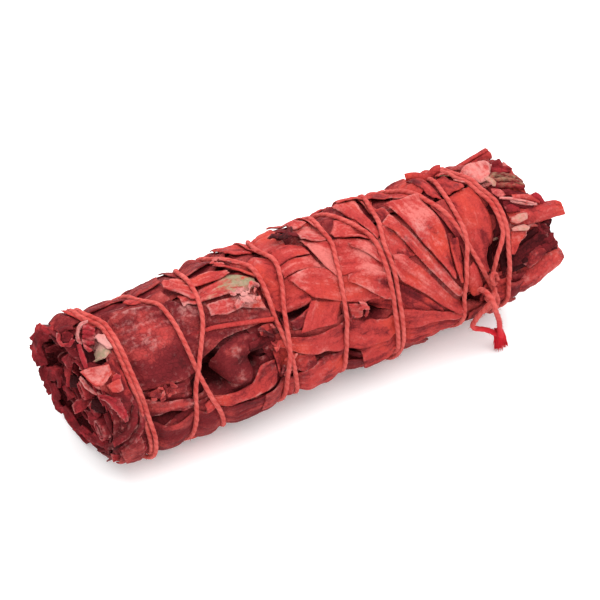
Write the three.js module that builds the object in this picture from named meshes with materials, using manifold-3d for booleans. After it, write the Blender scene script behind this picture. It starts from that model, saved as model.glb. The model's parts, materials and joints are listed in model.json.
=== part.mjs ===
import * as THREE from 'three';
import { mergeVertices } from 'three/addons/utils/BufferGeometryUtils.js';
import Module from 'manifold-3d';

// A tied bundle of dried sage leaves, lying on its side. Millimetres and degrees. +X runs along the
// bundle towards the knotted end, +Z is up and the front is at -Y. Every point of the bundle is given by
// x, an angle from the top towards the front, and a radius from the bundle's axis.

// Driving dimensions
const AXIS_HEIGHT = 15.2;
const CORE_RADIUS = 10.7;
const CORE_SHIFT = { amount: 1, from: 50 };
const CORE_HOLLOW = { depth: 1.6, x: 21, length: 15 };
const END_RADIUS = 10.9;
const CORE_ENDS = { left: -40, right: 37 };
const LEFT_END = { x: -47.6, perY: -0.18, perZ: -0.14 };
const RIGHT_END = { x: 43.5, perY: -0.04, perZ: 0.2 };
const LEAF_THICKNESS = 0.6;
const LAYER_GAP = 0.3;
const STRING_RADIUS = 0.6;
const STRING_SINK = 0.42;
const CROSSING_RISE = 2 * STRING_RADIUS + 0.12;
const TAIL_RISE = CROSSING_RISE + 0.1;
const STRING_STEP = 10;
const STRING_SLOPE = 0.35;
const REST_ANGLE = 19;
const STRING_SIDES = 6;
const LEAF_CELL = 4.2;
const MAX_SLOPE = 0.4;
const SAMPLE_REACH = 0.6;
const SETTLE_SWEEPS = 20;

const LEAF_DARK = new THREE.MeshStandardMaterial({ color: 0x6e1f22, roughness: 0.85, metalness: 0 });
const LEAF_RED = new THREE.MeshStandardMaterial({ color: 0xb23a38, roughness: 0.8, metalness: 0 });
const LEAF_PALE = new THREE.MeshStandardMaterial({ color: 0xcf7b72, roughness: 0.85, metalness: 0 });
const LEAF_GREEN = new THREE.MeshStandardMaterial({ color: 0x9a8a72, roughness: 0.9, metalness: 0 });
const STRING = new THREE.MeshStandardMaterial({ color: 0xe0564f, roughness: 0.9, metalness: 0 });

const wasm = await Module();
wasm.setup();

const bundle = new THREE.Group();

function seededRandom(seed) {
  let state = seed;
  return () => {
    state = (state * 1664525 + 1013904223) % 4294967296;
    return state / 4294967296;
  };
}

const random = seededRandom(20);

function between(low, high) {
  return low + (high - low) * random();
}

function place(x, angle, radius) {
  const turn = THREE.MathUtils.degToRad(angle);
  return new THREE.Vector3(x, -radius * Math.sin(turn), AXIS_HEIGHT + radius * Math.cos(turn));
}

// The height map holds, for each small patch of the bundle's side, the radius that the leaves laid so far
// reach. Each new leaf or strand lies on the highest patch within its own reach, so nothing crosses.
const MAP_START = -56;
const MAP_ROWS = 112;
const MAP_COLUMNS = 120;
const MAP_TURN = 360 / MAP_COLUMNS;
const ARC_RADIUS = 13.5;
const MM_PER_DEGREE = (ARC_RADIUS * Math.PI) / 180;
const heights = new Float64Array(MAP_ROWS * MAP_COLUMNS).fill(0);

function patch(row, column) {
  const safeRow = Math.min(MAP_ROWS - 1, Math.max(0, row));
  const safeColumn = ((column % MAP_COLUMNS) + MAP_COLUMNS) % MAP_COLUMNS;
  return safeRow * MAP_COLUMNS + safeColumn;
}

function raise(x, angle, radius) {
  const spot = patch(Math.round(x - MAP_START), Math.round(angle / MAP_TURN));
  heights[spot] = Math.max(heights[spot], radius);
}

function highest(x, angle, reach) {
  const row = Math.round(x - MAP_START);
  const column = Math.round(angle / MAP_TURN);
  const rows = Math.ceil(reach);
  const columns = Math.ceil(reach / (MAP_TURN * MM_PER_DEGREE));
  let best = 0;
  for (let i = -rows; i <= rows; i += 1) {
    for (let j = -columns; j <= columns; j += 1) {
      best = Math.max(best, heights[patch(row + i, column + j)]);
    }
  }
  return best;
}

// Geometry helpers

function closedGeometry(points, faces) {
  const geometry = new THREE.BufferGeometry();
  geometry.setAttribute('position', new THREE.Float32BufferAttribute(points.flatMap((p) => p.toArray()), 3));
  let volume = 0;
  for (const [a, b, c] of faces) {
    volume += points[a].dot(new THREE.Vector3().crossVectors(points[b], points[c]));
  }
  geometry.setIndex((volume < 0 ? faces.map(([a, b, c]) => [a, c, b]) : faces).flat());
  geometry.computeVertexNormals();
  return geometry;
}

// A sheet of even thickness: rows of { x, angle, radius } give its inner face.
function sheet(rows, thickness) {
  const across = rows[0].length;
  const inner = rows.flat().map((p) => place(p.x, p.angle, p.radius));
  const outer = rows.flat().map((p) => place(p.x, p.angle, p.radius + thickness));
  const lift = inner.length;
  const faces = [];
  const wall = (a, b) => faces.push([a, b, b + lift], [a, b + lift, a + lift]);
  for (let i = 0; i < rows.length - 1; i += 1) {
    for (let j = 0; j < across - 1; j += 1) {
      const a = i * across + j;
      const b = a + across;
      faces.push([a + lift, b + lift, a + 1 + lift], [b + lift, b + 1 + lift, a + 1 + lift]);
      faces.push([a, a + 1, b], [b, a + 1, b + 1]);
    }
    wall(i * across, (i + 1) * across);
    wall((i + 2) * across - 1, (i + 1) * across - 1);
  }
  for (let j = 0; j < across - 1; j += 1) {
    wall(j + 1, j);
    wall((rows.length - 1) * across + j, (rows.length - 1) * across + j + 1);
  }
  return closedGeometry([...inner, ...outer], faces);
}

// A closed solid through rings of points that all have the same count, with a fan at each end.
function loft(rings) {
  const count = rings[0].length;
  const points = rings.flat();
  const faces = [];
  for (let i = 0; i < rings.length - 1; i += 1) {
    for (let j = 0; j < count; j += 1) {
      const a = i * count + j;
      const b = i * count + ((j + 1) % count);
      faces.push([a, b, a + count], [b, b + count, a + count]);
    }
  }
  const centre = (ring) => ring.reduce((sum, p) => sum.add(p), new THREE.Vector3()).divideScalar(count);
  const last = (rings.length - 1) * count;
  points.push(centre(rings[0]), centre(rings[rings.length - 1]));
  for (let j = 0; j < count; j += 1) {
    const next = (j + 1) % count;
    faces.push([next, j, points.length - 2], [last + j, last + next, points.length - 1]);
  }
  return closedGeometry(points, faces);
}

function solid(geometry) {
  const bare = geometry.clone();
  bare.deleteAttribute('normal');
  const merged = mergeVertices(bare, 1e-5);
  const vertProperties = new Float32Array(merged.attributes.position.array);
  const triVerts = new Uint32Array(merged.index.array);
  return new wasm.Manifold(new wasm.Mesh({ numProp: 3, vertProperties, triVerts }));
}

// Fuses solids into one. Only its outer skin is kept, so a hollow that the fusing seals is filled.
function joined(geometries) {
  const whole = geometries.map(solid).reduce((sum, piece) => sum.add(piece));
  const [skin] = whole.decompose().sort((a, b) => b.volume() - a.volume());
  const mesh = skin.getMesh();
  const geometry = new THREE.BufferGeometry();
  geometry.setAttribute('position', new THREE.BufferAttribute(new Float32Array(mesh.vertProperties), 3));
  geometry.setIndex(new THREE.BufferAttribute(new Uint32Array(mesh.triVerts), 1));
  geometry.computeVertexNormals();
  return geometry;
}

function addNode(name, geometry, material) {
  const mesh = new THREE.Mesh(geometry, material);
  mesh.name = name;
  bundle.add(mesh);
}

// Where the leaves stop at each end: a slanted plane

function endOfLeaves(end, angle, radius) {
  const spot = place(0, angle, radius);
  return end.x + end.perY * spot.y + end.perZ * (spot.z - AXIS_HEIGHT);
}

// Inner leaves: a packed roll with ragged leaf edges standing out of both ends

// The roll is thinner at the upper front, where most leaves lie over it, and most of all near the knot.
function coreRadius(x, angle) {
  const facing = Math.cos(THREE.MathUtils.degToRad(angle - CORE_SHIFT.from));
  const hollow = CORE_HOLLOW.depth * Math.exp(-(((x - CORE_HOLLOW.x) / CORE_HOLLOW.length) ** 2));
  const dent = 0.2 * (1 + Math.sin(THREE.MathUtils.degToRad(5 * angle) + 0.21 * x));
  return CORE_RADIUS - dent - CORE_SHIFT.amount * facing - hollow * Math.max(0, facing);
}

function coreRing(x, scale) {
  const sides = 22;
  return Array.from({ length: sides }, (_, j) => {
    const angle = (360 * j) / sides;
    return { x, angle, radius: coreRadius(x, angle) * scale };
  });
}

function coreRings() {
  const { left, right } = CORE_ENDS;
  const steps = 9;
  const rings = [coreRing(left - 4, 0.45), coreRing(left - 2.4, 0.8)];
  for (let i = 0; i <= steps; i += 1) {
    rings.push(coreRing(left + ((right - left) * i) / steps, 1));
  }
  rings.push(coreRing(right + 2.4, 0.8), coreRing(right + 4, 0.45));
  return rings;
}

// The map under the outer leaves starts from the roll, and from one radius past its two ends.
function raiseRoll() {
  for (let row = 0; row < MAP_ROWS; row += 1) {
    const x = MAP_START + row;
    const pastEnd = x < CORE_ENDS.left + 2 || x > CORE_ENDS.right - 2;
    for (let column = 0; column < MAP_COLUMNS; column += 1) {
      const angle = column * MAP_TURN;
      raise(x, angle, Math.max(coreRadius(x, angle) + 0.1, pastEnd ? END_RADIUS : 0));
    }
  }
}

// One curled leaf edge: it starts inside the roll and runs out past the end, round part of a ring.
function curledEdge(end, side, ring, start, arc, rise) {
  const columns = Math.max(2, Math.round((arc * ring) / 200));
  const root = (side < 0 ? CORE_ENDS.left : CORE_ENDS.right) - side * 2;
  const flare = between(-0.3, 0.5);
  const rows = [0, 0.6, 1].map((out) => {
    const row = [];
    for (let j = 0; j <= columns; j += 1) {
      const angle = start + (arc * j) / columns;
      const radius = ring + (rise * j) / columns + flare * out;
      const tip = endOfLeaves(end, angle, radius) - side * between(0, 3.4);
      row.push({ x: root + (tip - root) * out, angle, radius });
    }
    return row;
  });
  return sheet(rows, LEAF_THICKNESS);
}

function rosette(end, side) {
  const rings = [
    { radius: 1.2, leaves: 2 },
    { radius: 3.1, leaves: 4 },
    { radius: 5.1, leaves: 6 },
    { radius: 7.0, leaves: 7 },
    { radius: 8.6, leaves: 9 },
  ];
  const edges = [];
  for (const { radius, leaves } of rings) {
    const first = between(0, 360);
    for (let k = 0; k < leaves; k += 1) {
      const arc = (360 / leaves) * between(0.95, 1.2);
      edges.push(curledEdge(end, side, radius, first + (360 * k) / leaves, arc, 1.2));
    }
  }
  return edges;
}

// A leaf rolled up like a scroll, from one { x, angle, radius } to another.
function rolledLeaf({ from, to, radius, flatness }) {
  const turns = 1.2;
  const steps = 12;
  const rings = [0, 0.5, 1].map((t) => {
    const middle = place(
      from.x + (to.x - from.x) * t,
      from.angle + (to.angle - from.angle) * t,
      from.radius + (to.radius - from.radius) * t,
    );
    const edge = (j, inset) => {
      const turn = (2 * Math.PI * turns * j) / steps + THREE.MathUtils.degToRad(from.angle);
      const size = radius * (1 - (0.42 * j) / steps) - inset;
      return middle.clone().add(new THREE.Vector3(0, -size * Math.sin(turn), size * flatness * Math.cos(turn)));
    };
    const outside = Array.from({ length: steps + 1 }, (_, j) => edge(j, 0));
    const inside = Array.from({ length: steps + 1 }, (_, j) => edge(steps - j, LEAF_THICKNESS));
    return [...outside, ...inside];
  });
  return scroll(rings, steps + 1);
}

// Closes a scroll: side faces between rings, and end faces that bridge its outside to its inside.
function scroll(rings, half) {
  const count = rings[0].length;
  const faces = [];
  for (let i = 0; i < rings.length - 1; i += 1) {
    for (let j = 0; j < count; j += 1) {
      const a = i * count + j;
      const b = i * count + ((j + 1) % count);
      faces.push([a, b, a + count], [b, b + count, a + count]);
    }
  }
  const last = (rings.length - 1) * count;
  for (let j = 0; j < half - 1; j += 1) {
    const [a, b, c, d] = [j, j + 1, count - 2 - j, count - 1 - j];
    faces.push([b, a, c], [a, d, c]);
    faces.push([last + a, last + b, last + c], [last + a, last + c, last + d]);
  }
  return closedGeometry(rings.flat(), faces);
}

const ROLLED_LEAVES = [
  { from: { x: 33, angle: 40, radius: 8.2 }, to: { x: 51.3, angle: 40, radius: 12.4 }, radius: 1.9, flatness: 0.85 },
  { from: { x: 32, angle: 76, radius: 7 }, to: { x: 49.3, angle: 78, radius: 10.4 }, radius: 3.5, flatness: 0.8 },
];

function raiseRolledLeaf({ from, to, radius }) {
  for (let x = from.x; x <= to.x + 1; x += 0.5) {
    const t = (x - from.x) / (to.x - from.x);
    const middle = from.radius + (to.radius - from.radius) * t;
    const halfAngle = THREE.MathUtils.radToDeg(radius / middle);
    for (let angle = from.angle - halfAngle; angle <= from.angle + halfAngle; angle += 1.5) {
      raise(x, angle, middle + radius);
    }
  }
}

function addInnerLeaves() {
  const edges = [...rosette(LEFT_END, -1), ...rosette(RIGHT_END, 1)];
  const roll = loft(coreRings().map((ring) => ring.map((p) => place(p.x, p.angle, p.radius))));
  const geometry = joined([roll, ...edges, ...ROLLED_LEAVES.map(rolledLeaf)]);
  addNode('inner_leaves', geometry, LEAF_RED);
  raiseRoll();
  ROLLED_LEAVES.forEach(raiseRolledLeaf);
}

// Outer leaves. Each runs from one [x, angle] to another. ends gives how blunt it is at each end, from 0,
// pointed, to 1, torn across. bow bends it sideways, crease raises its midrib and curl lifts its sides.

function halfWidth(leaf, u) {
  const [blunt, tip] = leaf.ends;
  const opening = blunt + (1 - blunt) * Math.sin(Math.min(1, u / 0.4) * (Math.PI / 2));
  const closing = tip + (1 - tip) * Math.sin(Math.min(1, (1 - u) / 0.5) * (Math.PI / 2));
  return Math.max(0.9, (leaf.width / 2) * opening * closing);
}

function leafRows(leaf) {
  const { from, to, bow = 0, crease = 0, curl = 0 } = leaf;
  const along = new THREE.Vector2(to[0] - from[0], (to[1] - from[1]) * MM_PER_DEGREE);
  const length = along.length();
  const side = new THREE.Vector2(-along.y, along.x).divideScalar(length);
  const cells = Math.max(3, Math.round(length / LEAF_CELL));
  const half = leaf.width > 6 ? 2 : 1;
  const rows = [];
  for (let i = 0; i <= cells; i += 1) {
    const row = [];
    const u = i / cells;
    const width = halfWidth(leaf, u) * between(0.9, 1.08);
    for (let j = -half; j <= half; j += 1) {
      const v = j / half;
      const torn = i === 0 || i === cells ? between(-0.7, 0.7) : 0;
      const offset = width * v + bow * 4 * u * (1 - u);
      const x = from[0] + along.x * u + side.x * offset + torn;
      const angle = from[1] + (along.y * u + side.y * offset) / MM_PER_DEGREE;
      row.push({ x, angle, lift: crease * (1 - Math.abs(v)) + curl * Math.abs(v) });
    }
    rows.push(row);
  }
  return rows;
}

function spacing(p, q) {
  return Math.hypot(p.x - q.x, (p.angle - q.angle) * MM_PER_DEGREE);
}

// Points spread over the leaf's triangles, each with its three corners and their shares.
function samplesOf(rows) {
  const steps = 6;
  const samples = [];
  for (let i = 0; i < rows.length - 1; i += 1) {
    for (let j = 0; j < rows[i].length - 1; j += 1) {
      const [p, q, r, s] = [rows[i][j], rows[i + 1][j], rows[i][j + 1], rows[i + 1][j + 1]];
      for (let a = 0; a <= steps; a += 1) {
        for (let b = 0; b <= steps; b += 1) {
          const near = a + b <= steps;
          const corners = near ? [p, q, r] : [s, r, q];
          const [f, g] = near ? [a / steps, b / steps] : [1 - a / steps, 1 - b / steps];
          samples.push({ corners, shares: [1 - f - g, f, g] });
        }
      }
    }
  }
  return samples;
}

function mixed({ corners, shares }, key) {
  return corners.reduce((sum, corner, k) => sum + shares[k] * corner[key], 0);
}

// How far a leaf's point reaches: the longest edge of the triangles that meet there.
function reachOf(rows, i, j) {
  const around = [[1, 0], [-1, 0], [0, 1], [0, -1], [1, -1], [-1, 1]];
  const others = around.map(([di, dj]) => rows[i + di]?.[j + dj]).filter(Boolean);
  return Math.max(...others.map((other) => spacing(rows[i][j], other)));
}

// Lays the leaf over the highest patch within reach of each point, then lets each point settle as far as
// the samples round it allow, while no side drops more steeply than MAX_SLOPE.
function settle(rows, samples) {
  rows.forEach((row, i) => row.forEach((p, j) => {
    p.radius = highest(p.x, p.angle, reachOf(rows, i, j)) + LAYER_GAP;
    p.limits = [];
    p.beside = [rows[i - 1]?.[j], rows[i + 1]?.[j], row[j - 1], row[j + 1]].filter(Boolean);
  }));
  for (const sample of samples) {
    sample.floor = highest(mixed(sample, 'x'), mixed(sample, 'angle'), SAMPLE_REACH) + LAYER_GAP;
    sample.corners.forEach((corner, c) => {
      if (sample.shares[c] > 0.01) {
        corner.limits.push({ sample, share: sample.shares[c] });
      }
    });
  }
  for (let sweep = 0; sweep < SETTLE_SWEEPS; sweep += 1) {
    for (const p of rows.flat()) {
      const pressed = p.limits.map(({ sample, share }) => (
        p.radius + (sample.floor - mixed(sample, 'radius')) / share
      ));
      const sloped = p.beside.map((other) => other.radius - MAX_SLOPE * spacing(p, other));
      p.radius = Math.max(...pressed, ...sloped);
    }
  }
}

function addLeaf(leaf) {
  const rows = leafRows(leaf);
  const samples = samplesOf(rows);
  settle(rows, samples);
  rows.flat().forEach((p) => {
    p.radius += p.lift;
  });
  addNode(leaf.name, sheet(rows, LEAF_THICKNESS), leaf.finish);
  samples.forEach((sample) => {
    raise(mixed(sample, 'x'), mixed(sample, 'angle'), mixed(sample, 'radius') + LEAF_THICKNESS);
  });
}

// Leaves of the hidden layer: three bands along the bundle, tips to the left, from the top round the back
// to the underside. The front leaves lie on the roll itself.
const UNDER_BANDS = [
  { from: 40, to: 8.5, turn: 0 },
  { from: 13, to: -17, turn: 8 },
  { from: -13, to: -45.5, turn: -6 },
];
const UNDER_ANGLES = [122, 174, 226, 278, 330];

function addUnderLeaves() {
  let count = 0;
  for (const { from, to, turn } of UNDER_BANDS) {
    for (const angle of UNDER_ANGLES) {
      const start = angle + turn + between(-4, 4);
      count += 1;
      addLeaf({
        name: `under_leaf_${String(count).padStart(2, '0')}`,
        from: [from + between(-1.5, 1.5), start],
        to: [to + between(-1.5, 1.5), start + between(-8, 8)],
        width: between(14, 15.5),
        ends: [0.8, 0.55],
        finish: LEAF_DARK,
      });
    }
  }
}

// Leaves of the back and the underside that lie over the hidden layer.
function addBackLeaves() {
  const spots = [
    { x: -27, angle: -62 },
    { x: 2, angle: -76 },
    { x: 29, angle: -68 },
    { x: -14, angle: -122 },
    { x: 24, angle: -128 },
    { x: -30, angle: 128 },
    { x: 9, angle: 128 },
  ];
  spots.forEach(({ x, angle }, k) => {
    const length = between(22, 28);
    const slope = between(-12, 12);
    addLeaf({
      name: `back_leaf_${String(k + 1).padStart(2, '0')}`,
      from: [x + length / 2, angle - slope],
      to: [x - length / 2, angle + slope],
      width: between(9, 11.5),
      ends: [0.6, 0.3],
      finish: k % 2 ? LEAF_RED : LEAF_DARK,
    });
  });
}

// Leaves of the front, in the order in which they lie over one another.
const FRONT_LEAVES = [
  { name: 'top_left_leaf', from: [-26, -20], to: [-48, -24], width: 9, ends: [0.6, 0.7], finish: LEAF_DARK },
  { name: 'front_dark_leaf', from: [-17, 33], to: [-44, 20], width: 15, ends: [0.3, 0.8], crease: 0.3,
    finish: LEAF_DARK },
  { name: 'lower_dark_leaf', from: [-28, 84], to: [-48, 66], width: 8, ends: [0.4, 0.8], finish: LEAF_DARK },
  { name: 'hollow_leaf', from: [-18, 74], to: [-26, 44], width: 6.5, ends: [0.4, 0.6], finish: LEAF_DARK },
  { name: 'lower_left_leaf', from: [-15, 105], to: [-45, 102], width: 7.5, ends: [0.4, 0.8], finish: LEAF_DARK },
  { name: 'left_band_leaf', from: [-11, 87], to: [-30, 86], width: 4.5, ends: [0.5, 0.3], finish: LEAF_RED },
  { name: 'green_leaf', from: [-10, 11], to: [-23, 3], width: 7, ends: [0.5, 0.4], finish: LEAF_GREEN },
  { name: 'flap_leaf', from: [-15, -3], to: [-28, -14], width: 6, ends: [0.5, 0.3], finish: LEAF_PALE },
  { name: 'top_middle_leaf', from: [1, -30], to: [-14, -24], width: 9, ends: [0.5, 0.5], finish: LEAF_RED },
  { name: 'middle_left_leaf', from: [6, 12], to: [-11, 12], width: 8, ends: [0.5, 0.6], finish: LEAF_RED },
  { name: 'middle_leaf', from: [13, 38], to: [-8, 26], width: 9, ends: [0.6, 0.5], bow: 1, finish: LEAF_RED },
  { name: 'middle_low_leaf', from: [6, 52], to: [-12, 50], width: 7, ends: [0.5, 0.4], finish: LEAF_RED },
  { name: 'lower_middle_leaf', from: [2, 95], to: [-12, 95], width: 6, ends: [0.5, 0.5], finish: LEAF_RED },
  { name: 'lower_right_leaf', from: [33, 103], to: [2, 104], width: 7.5, ends: [0.5, 0.6], finish: LEAF_RED },
  { name: 'long_leaf', from: [21, 83], to: [-14, 58], width: 6, ends: [0.5, 0.05], bow: 1.3, finish: LEAF_RED },
  { name: 'middle_right_leaf', from: [17, 20], to: [0, 14], width: 13, ends: [0.4, 0.6], finish: LEAF_RED },
  { name: 'top_right_leaf', from: [28, -30], to: [9, -24], width: 8, ends: [0.5, 0.4], finish: LEAF_RED },
  { name: 'wide_leaf', from: [34.6, -4], to: [33.6, 70], width: 7, ends: [0.6, 0.4], finish: LEAF_RED },
  { name: 'folded_leaf_low', from: [13.5, 38], to: [26, 88], width: 4.6, ends: [0.2, 0.5], crease: 0.3,
    finish: LEAF_RED },
  { name: 'folded_leaf_high', from: [16, 2], to: [23.5, 76], width: 4.4, ends: [0.2, 0.4], bow: 1.2, crease: 0.3,
    finish: LEAF_PALE },
  { name: 'folded_leaf_right', from: [29.4, -6], to: [29.6, 70], width: 3.8, ends: [0.5, 0.3], crease: 0.3,
    finish: LEAF_DARK },
  { name: 'lobed_leaf', from: [23.8, -8], to: [25, 60], width: 6.6, ends: [0.8, 0.1], finish: LEAF_PALE },
  { name: 'pale_end_leaf', from: [36.5, -20], to: [44, -8], width: 6, ends: [0.7, 0.5], finish: LEAF_PALE },
  { name: 'top_end_leaf', from: [34, -38], to: [45, -34], width: 6, ends: [0.6, 0.7], finish: LEAF_DARK },
  { name: 'pale_tip_leaf', from: [37, 57], to: [44, 50], width: 4.5, ends: [0.7, 0.3], finish: LEAF_PALE },
  { name: 'low_end_leaf', from: [29, 88], to: [44, 93], width: 6, ends: [0.4, 0.6], finish: LEAF_DARK },
];

// Stalks: thin rods that lie over the leaves

const STALKS = [
  { name: 'red_stalk', from: [-26.5, 30.5], to: [-11.6, 40], radius: 0.5 },
  { name: 'cut_stalk', from: [28, -39], to: [34.3, -29], radius: 0.9 },
];
const STALK_SPOTS = 6;

function addStalk({ name, from, to, radius }) {
  const spots = Array.from({ length: STALK_SPOTS }, (_, k) => {
    const t = k / (STALK_SPOTS - 1);
    return { x: from[0] + t * (to[0] - from[0]), angle: from[1] + t * (to[1] - from[1]) };
  });
  settleRun(spots, radius, 0, 0);
  addNode(name, tube(spots, radius, STRING_SIDES), LEAF_RED);
  along(spots, (x, angle, r) => raise(x, angle, r + radius));
}

// A tube through spots on the bundle, with a flat side of its section facing outwards. Nothing of it goes
// below the surface that the bundle lies on, so it is pressed flat there.
function tube(spots, radius, sides) {
  const centres = spots.map((p) => place(p.x, p.angle, p.radius));
  const rings = centres.map((centre, i) => {
    const before = centres[Math.max(0, i - 1)];
    const after = centres[Math.min(centres.length - 1, i + 1)];
    const tangent = after.clone().sub(before).normalize();
    const outwards = place(0, spots[i].angle, 1).sub(place(0, spots[i].angle, 0));
    const across = new THREE.Vector3().crossVectors(tangent, outwards).normalize();
    const out = new THREE.Vector3().crossVectors(across, tangent);
    return Array.from({ length: sides }, (_, j) => {
      const turn = (2 * Math.PI * (j + 0.5)) / sides;
      const point = centre.clone().addScaledVector(out, radius * Math.cos(turn));
      point.addScaledVector(across, radius * Math.sin(turn));
      point.z = Math.max(0, point.z);
      return point;
    });
  });
  return loft(rings);
}

// The string. Each row is one turn, in the order of winding: x where it passes these angles. Between rows
// it goes on round the back, so the angle only ever falls: out to the left end and back to the knot.
const TURN_ANGLES = [100, 80, 60, 40, 20, 0, -20, -100, -180];
const TURNS = [
  [null, null, 35.6, 38.0, 38.3, 37.4, 36.6, 36.2, 35.4],
  [36.8, 37.2, 37.9, 39.5, 39.8, 38.9, 38.0, 38.0, 37.6],
  [35.0, 33.4, 31.7, 30.4, 29.2, 27.4, 25.8, 20.0, 15.0],
  [12.8, 12.6, 12.7, 13.0, 13.3, 12.3, 10.5, 1.5, -6.0],
  [-9.3, -9.8, -10.4, -10.7, -10.6, -10.9, -14.0, -18.5, -22.0],
  [-25.2, -26.9, -28.0, -28.6, -28.9, -29.8, -32.8, -36.0, -38.5],
  [-39.9, -40.4, -40.9, -41.2, -41.4, -41.6, -44.8, -44.8, -42.6],
  [-38.5, -39.0, -39.5, -39.8, -40.0, -40.2, -42.6, -39.0, -34.0],
  [-30.4, -29.8, -28.3, -25.9, -23.7, -22.9, -22.6, -19.0, -15.0],
  [-11.6, -11.1, -10.1, -8.8, -6.9, -5.9, -7.2, -2.4, 0.0],
  [1.8, 2.1, 2.7, 3.6, 4.8, 6.0, 5.8, 8.5, 11.0],
  [14.2, 14.0, 14.1, 14.5, 14.8, 16.2, 17.1, 20.5, 24.0],
  [27.1, 27.4, 28.4, 30.1, 30.7, 30.9, 31.6, 32.2, 32.6],
];
const KNOT = { x: 33.4, angle: 74 };
const START_ANGLE = 69;
const FINISH_ANGLE = 86;

function windingKnots() {
  const knots = [[START_ANGLE, KNOT.x + 1]];
  TURNS.forEach((row, turn) => row.forEach((x, j) => {
    if (x !== null) {
      knots.push([TURN_ANGLES[j] - 360 * turn, x]);
    }
  }));
  const last = -360 * TURNS.length;
  knots.push([100 + last, KNOT.x], [FINISH_ANGLE + last, KNOT.x - 1.4]);
  return knots;
}

// x of the winding at an angle: a smooth curve through the knots that never overshoots them.
function windingX(knots, angle) {
  let i = 0;
  while (i < knots.length - 2 && angle < knots[i + 1][0]) {
    i += 1;
  }
  const slope = (k) => {
    if (k < 1 || k > knots.length - 2) {
      return 0;
    }
    const before = (knots[k][1] - knots[k - 1][1]) / (knots[k][0] - knots[k - 1][0]);
    const after = (knots[k + 1][1] - knots[k][1]) / (knots[k + 1][0] - knots[k][0]);
    return before * after <= 0 ? 0 : (2 * before * after) / (before + after);
  };
  const [a0, x0] = knots[i];
  const [a1, x1] = knots[i + 1];
  const span = a1 - a0;
  const t = (angle - a0) / span;
  const bend = (x1 - x0) * t * t * (3 - 2 * t);
  return x0 + bend + span * (slope(i) * t * (1 - t) ** 2 - slope(i + 1) * t * t * (1 - t));
}

// Calls visit at close spots all along a strand.
const FINE_SPACING = 0.7;

function along(spots, visit) {
  spots.slice(1).forEach((far, i) => {
    const near = spots[i];
    const steps = Math.ceil(spacing(near, far) / FINE_SPACING);
    for (let k = 1; k <= steps; k += 1) {
      const mix = (key) => near[key] + (k / steps) * (far[key] - near[key]);
      visit(mix('x'), mix('angle'), mix('radius'));
    }
  });
}

// Strands laid so far, as a fine list of spots, so that a later strand can rise over them.
const RUN_SPOTS = 180 / STRING_STEP;
const SIDE_BY_SIDE = 2 * STRING_RADIUS + 0.12;
const laid = [];

function laidUnder(x, angle, before) {
  let best = 0;
  for (let k = 0; k < before; k += 1) {
    const turn = (((laid[k].angle - angle) % 360) + 540) % 360 - 180;
    if (Math.hypot(laid[k].x - x, turn * MM_PER_DEGREE) < SIDE_BY_SIDE) {
      best = Math.max(best, laid[k].radius);
    }
  }
  return best;
}

// On the underside the string runs straight, pressed flat where it carries the bundle.
function restRadius(angle) {
  const fromBottom = ((((angle - 180) % 360) + 540) % 360) - 180;
  if (Math.abs(fromBottom) > REST_ANGLE) {
    return 0;
  }
  return (AXIS_HEIGHT - STRING_SINK) / Math.cos(THREE.MathUtils.degToRad(fromBottom));
}

// The samples of the stretches from one spot to the next: where they are, how low they may lie, and the
// share of the stretch's far spot.
function stretchesOf(spots, radius, rise, before) {
  return spots.slice(1).map((far, i) => {
    const near = spots[i];
    return [0, 0.2, 0.4, 0.6, 0.8, 1].map((share) => {
      const x = near.x + share * (far.x - near.x);
      const angle = near.angle + share * (far.angle - near.angle);
      const strand = laidUnder(x, angle, before);
      const leaf = highest(x, angle, SAMPLE_REACH) + LAYER_GAP + radius;
      return { share, floor: Math.max(leaf, strand ? strand + rise : 0) };
    });
  });
}

// Lays a run of spots: each starts over the highest sample beside it and then settles as far as its samples
// allow. A spot with fixed set keeps its radius.
function settleRun(spots, radius, rise, before) {
  const stretches = stretchesOf(spots, radius, rise, before);
  const beside = (i) => [
    { other: spots[i - 1], samples: stretches[i - 1], own: (share) => share },
    { other: spots[i + 1], samples: stretches[i], own: (share) => 1 - share },
  ].filter(({ other }) => other);
  const free = spots.map((spot, i) => ({ spot, sides: beside(i) })).filter(({ spot }) => !spot.fixed);
  for (const { spot, sides } of free) {
    const floors = sides.flatMap(({ samples }) => samples.map(({ floor }) => floor));
    spot.radius = Math.max(spot.least ?? 0, ...floors);
  }
  for (let sweep = 0; sweep < SETTLE_SWEEPS; sweep += 1) {
    for (const { spot, sides } of free) {
      const lows = sides.flatMap(({ other, samples, own }) => samples
        .filter(({ share }) => own(share) > 0.1)
        .map(({ share, floor }) => (floor - (1 - own(share)) * other.radius) / own(share)));
      const slopes = sides.map(({ other }) => other.radius - STRING_SLOPE * spacing(spot, other));
      spot.radius = Math.max(spot.least ?? 0, ...lows, ...slopes);
    }
  }
}

// Lays a strand in runs of half a turn, over the leaves and over every strand that was laid at least one
// run before.
function layStrand(spots, rise) {
  for (const spot of spots) {
    const rest = restRadius(spot.angle);
    spot.fixed = rest > 0;
    spot.radius = rest;
  }
  let before = laid.length;
  for (let first = 0; first < spots.length - 1; first += RUN_SPOTS) {
    const run = spots.slice(first, first + RUN_SPOTS + 1);
    const runStart = laid.length;
    settleRun(run, STRING_RADIUS, rise, before);
    run[run.length - 1].fixed = true;
    along(run, (x, angle, radius) => laid.push({ x, angle, radius }));
    before = runStart;
  }
  return spots;
}

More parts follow.
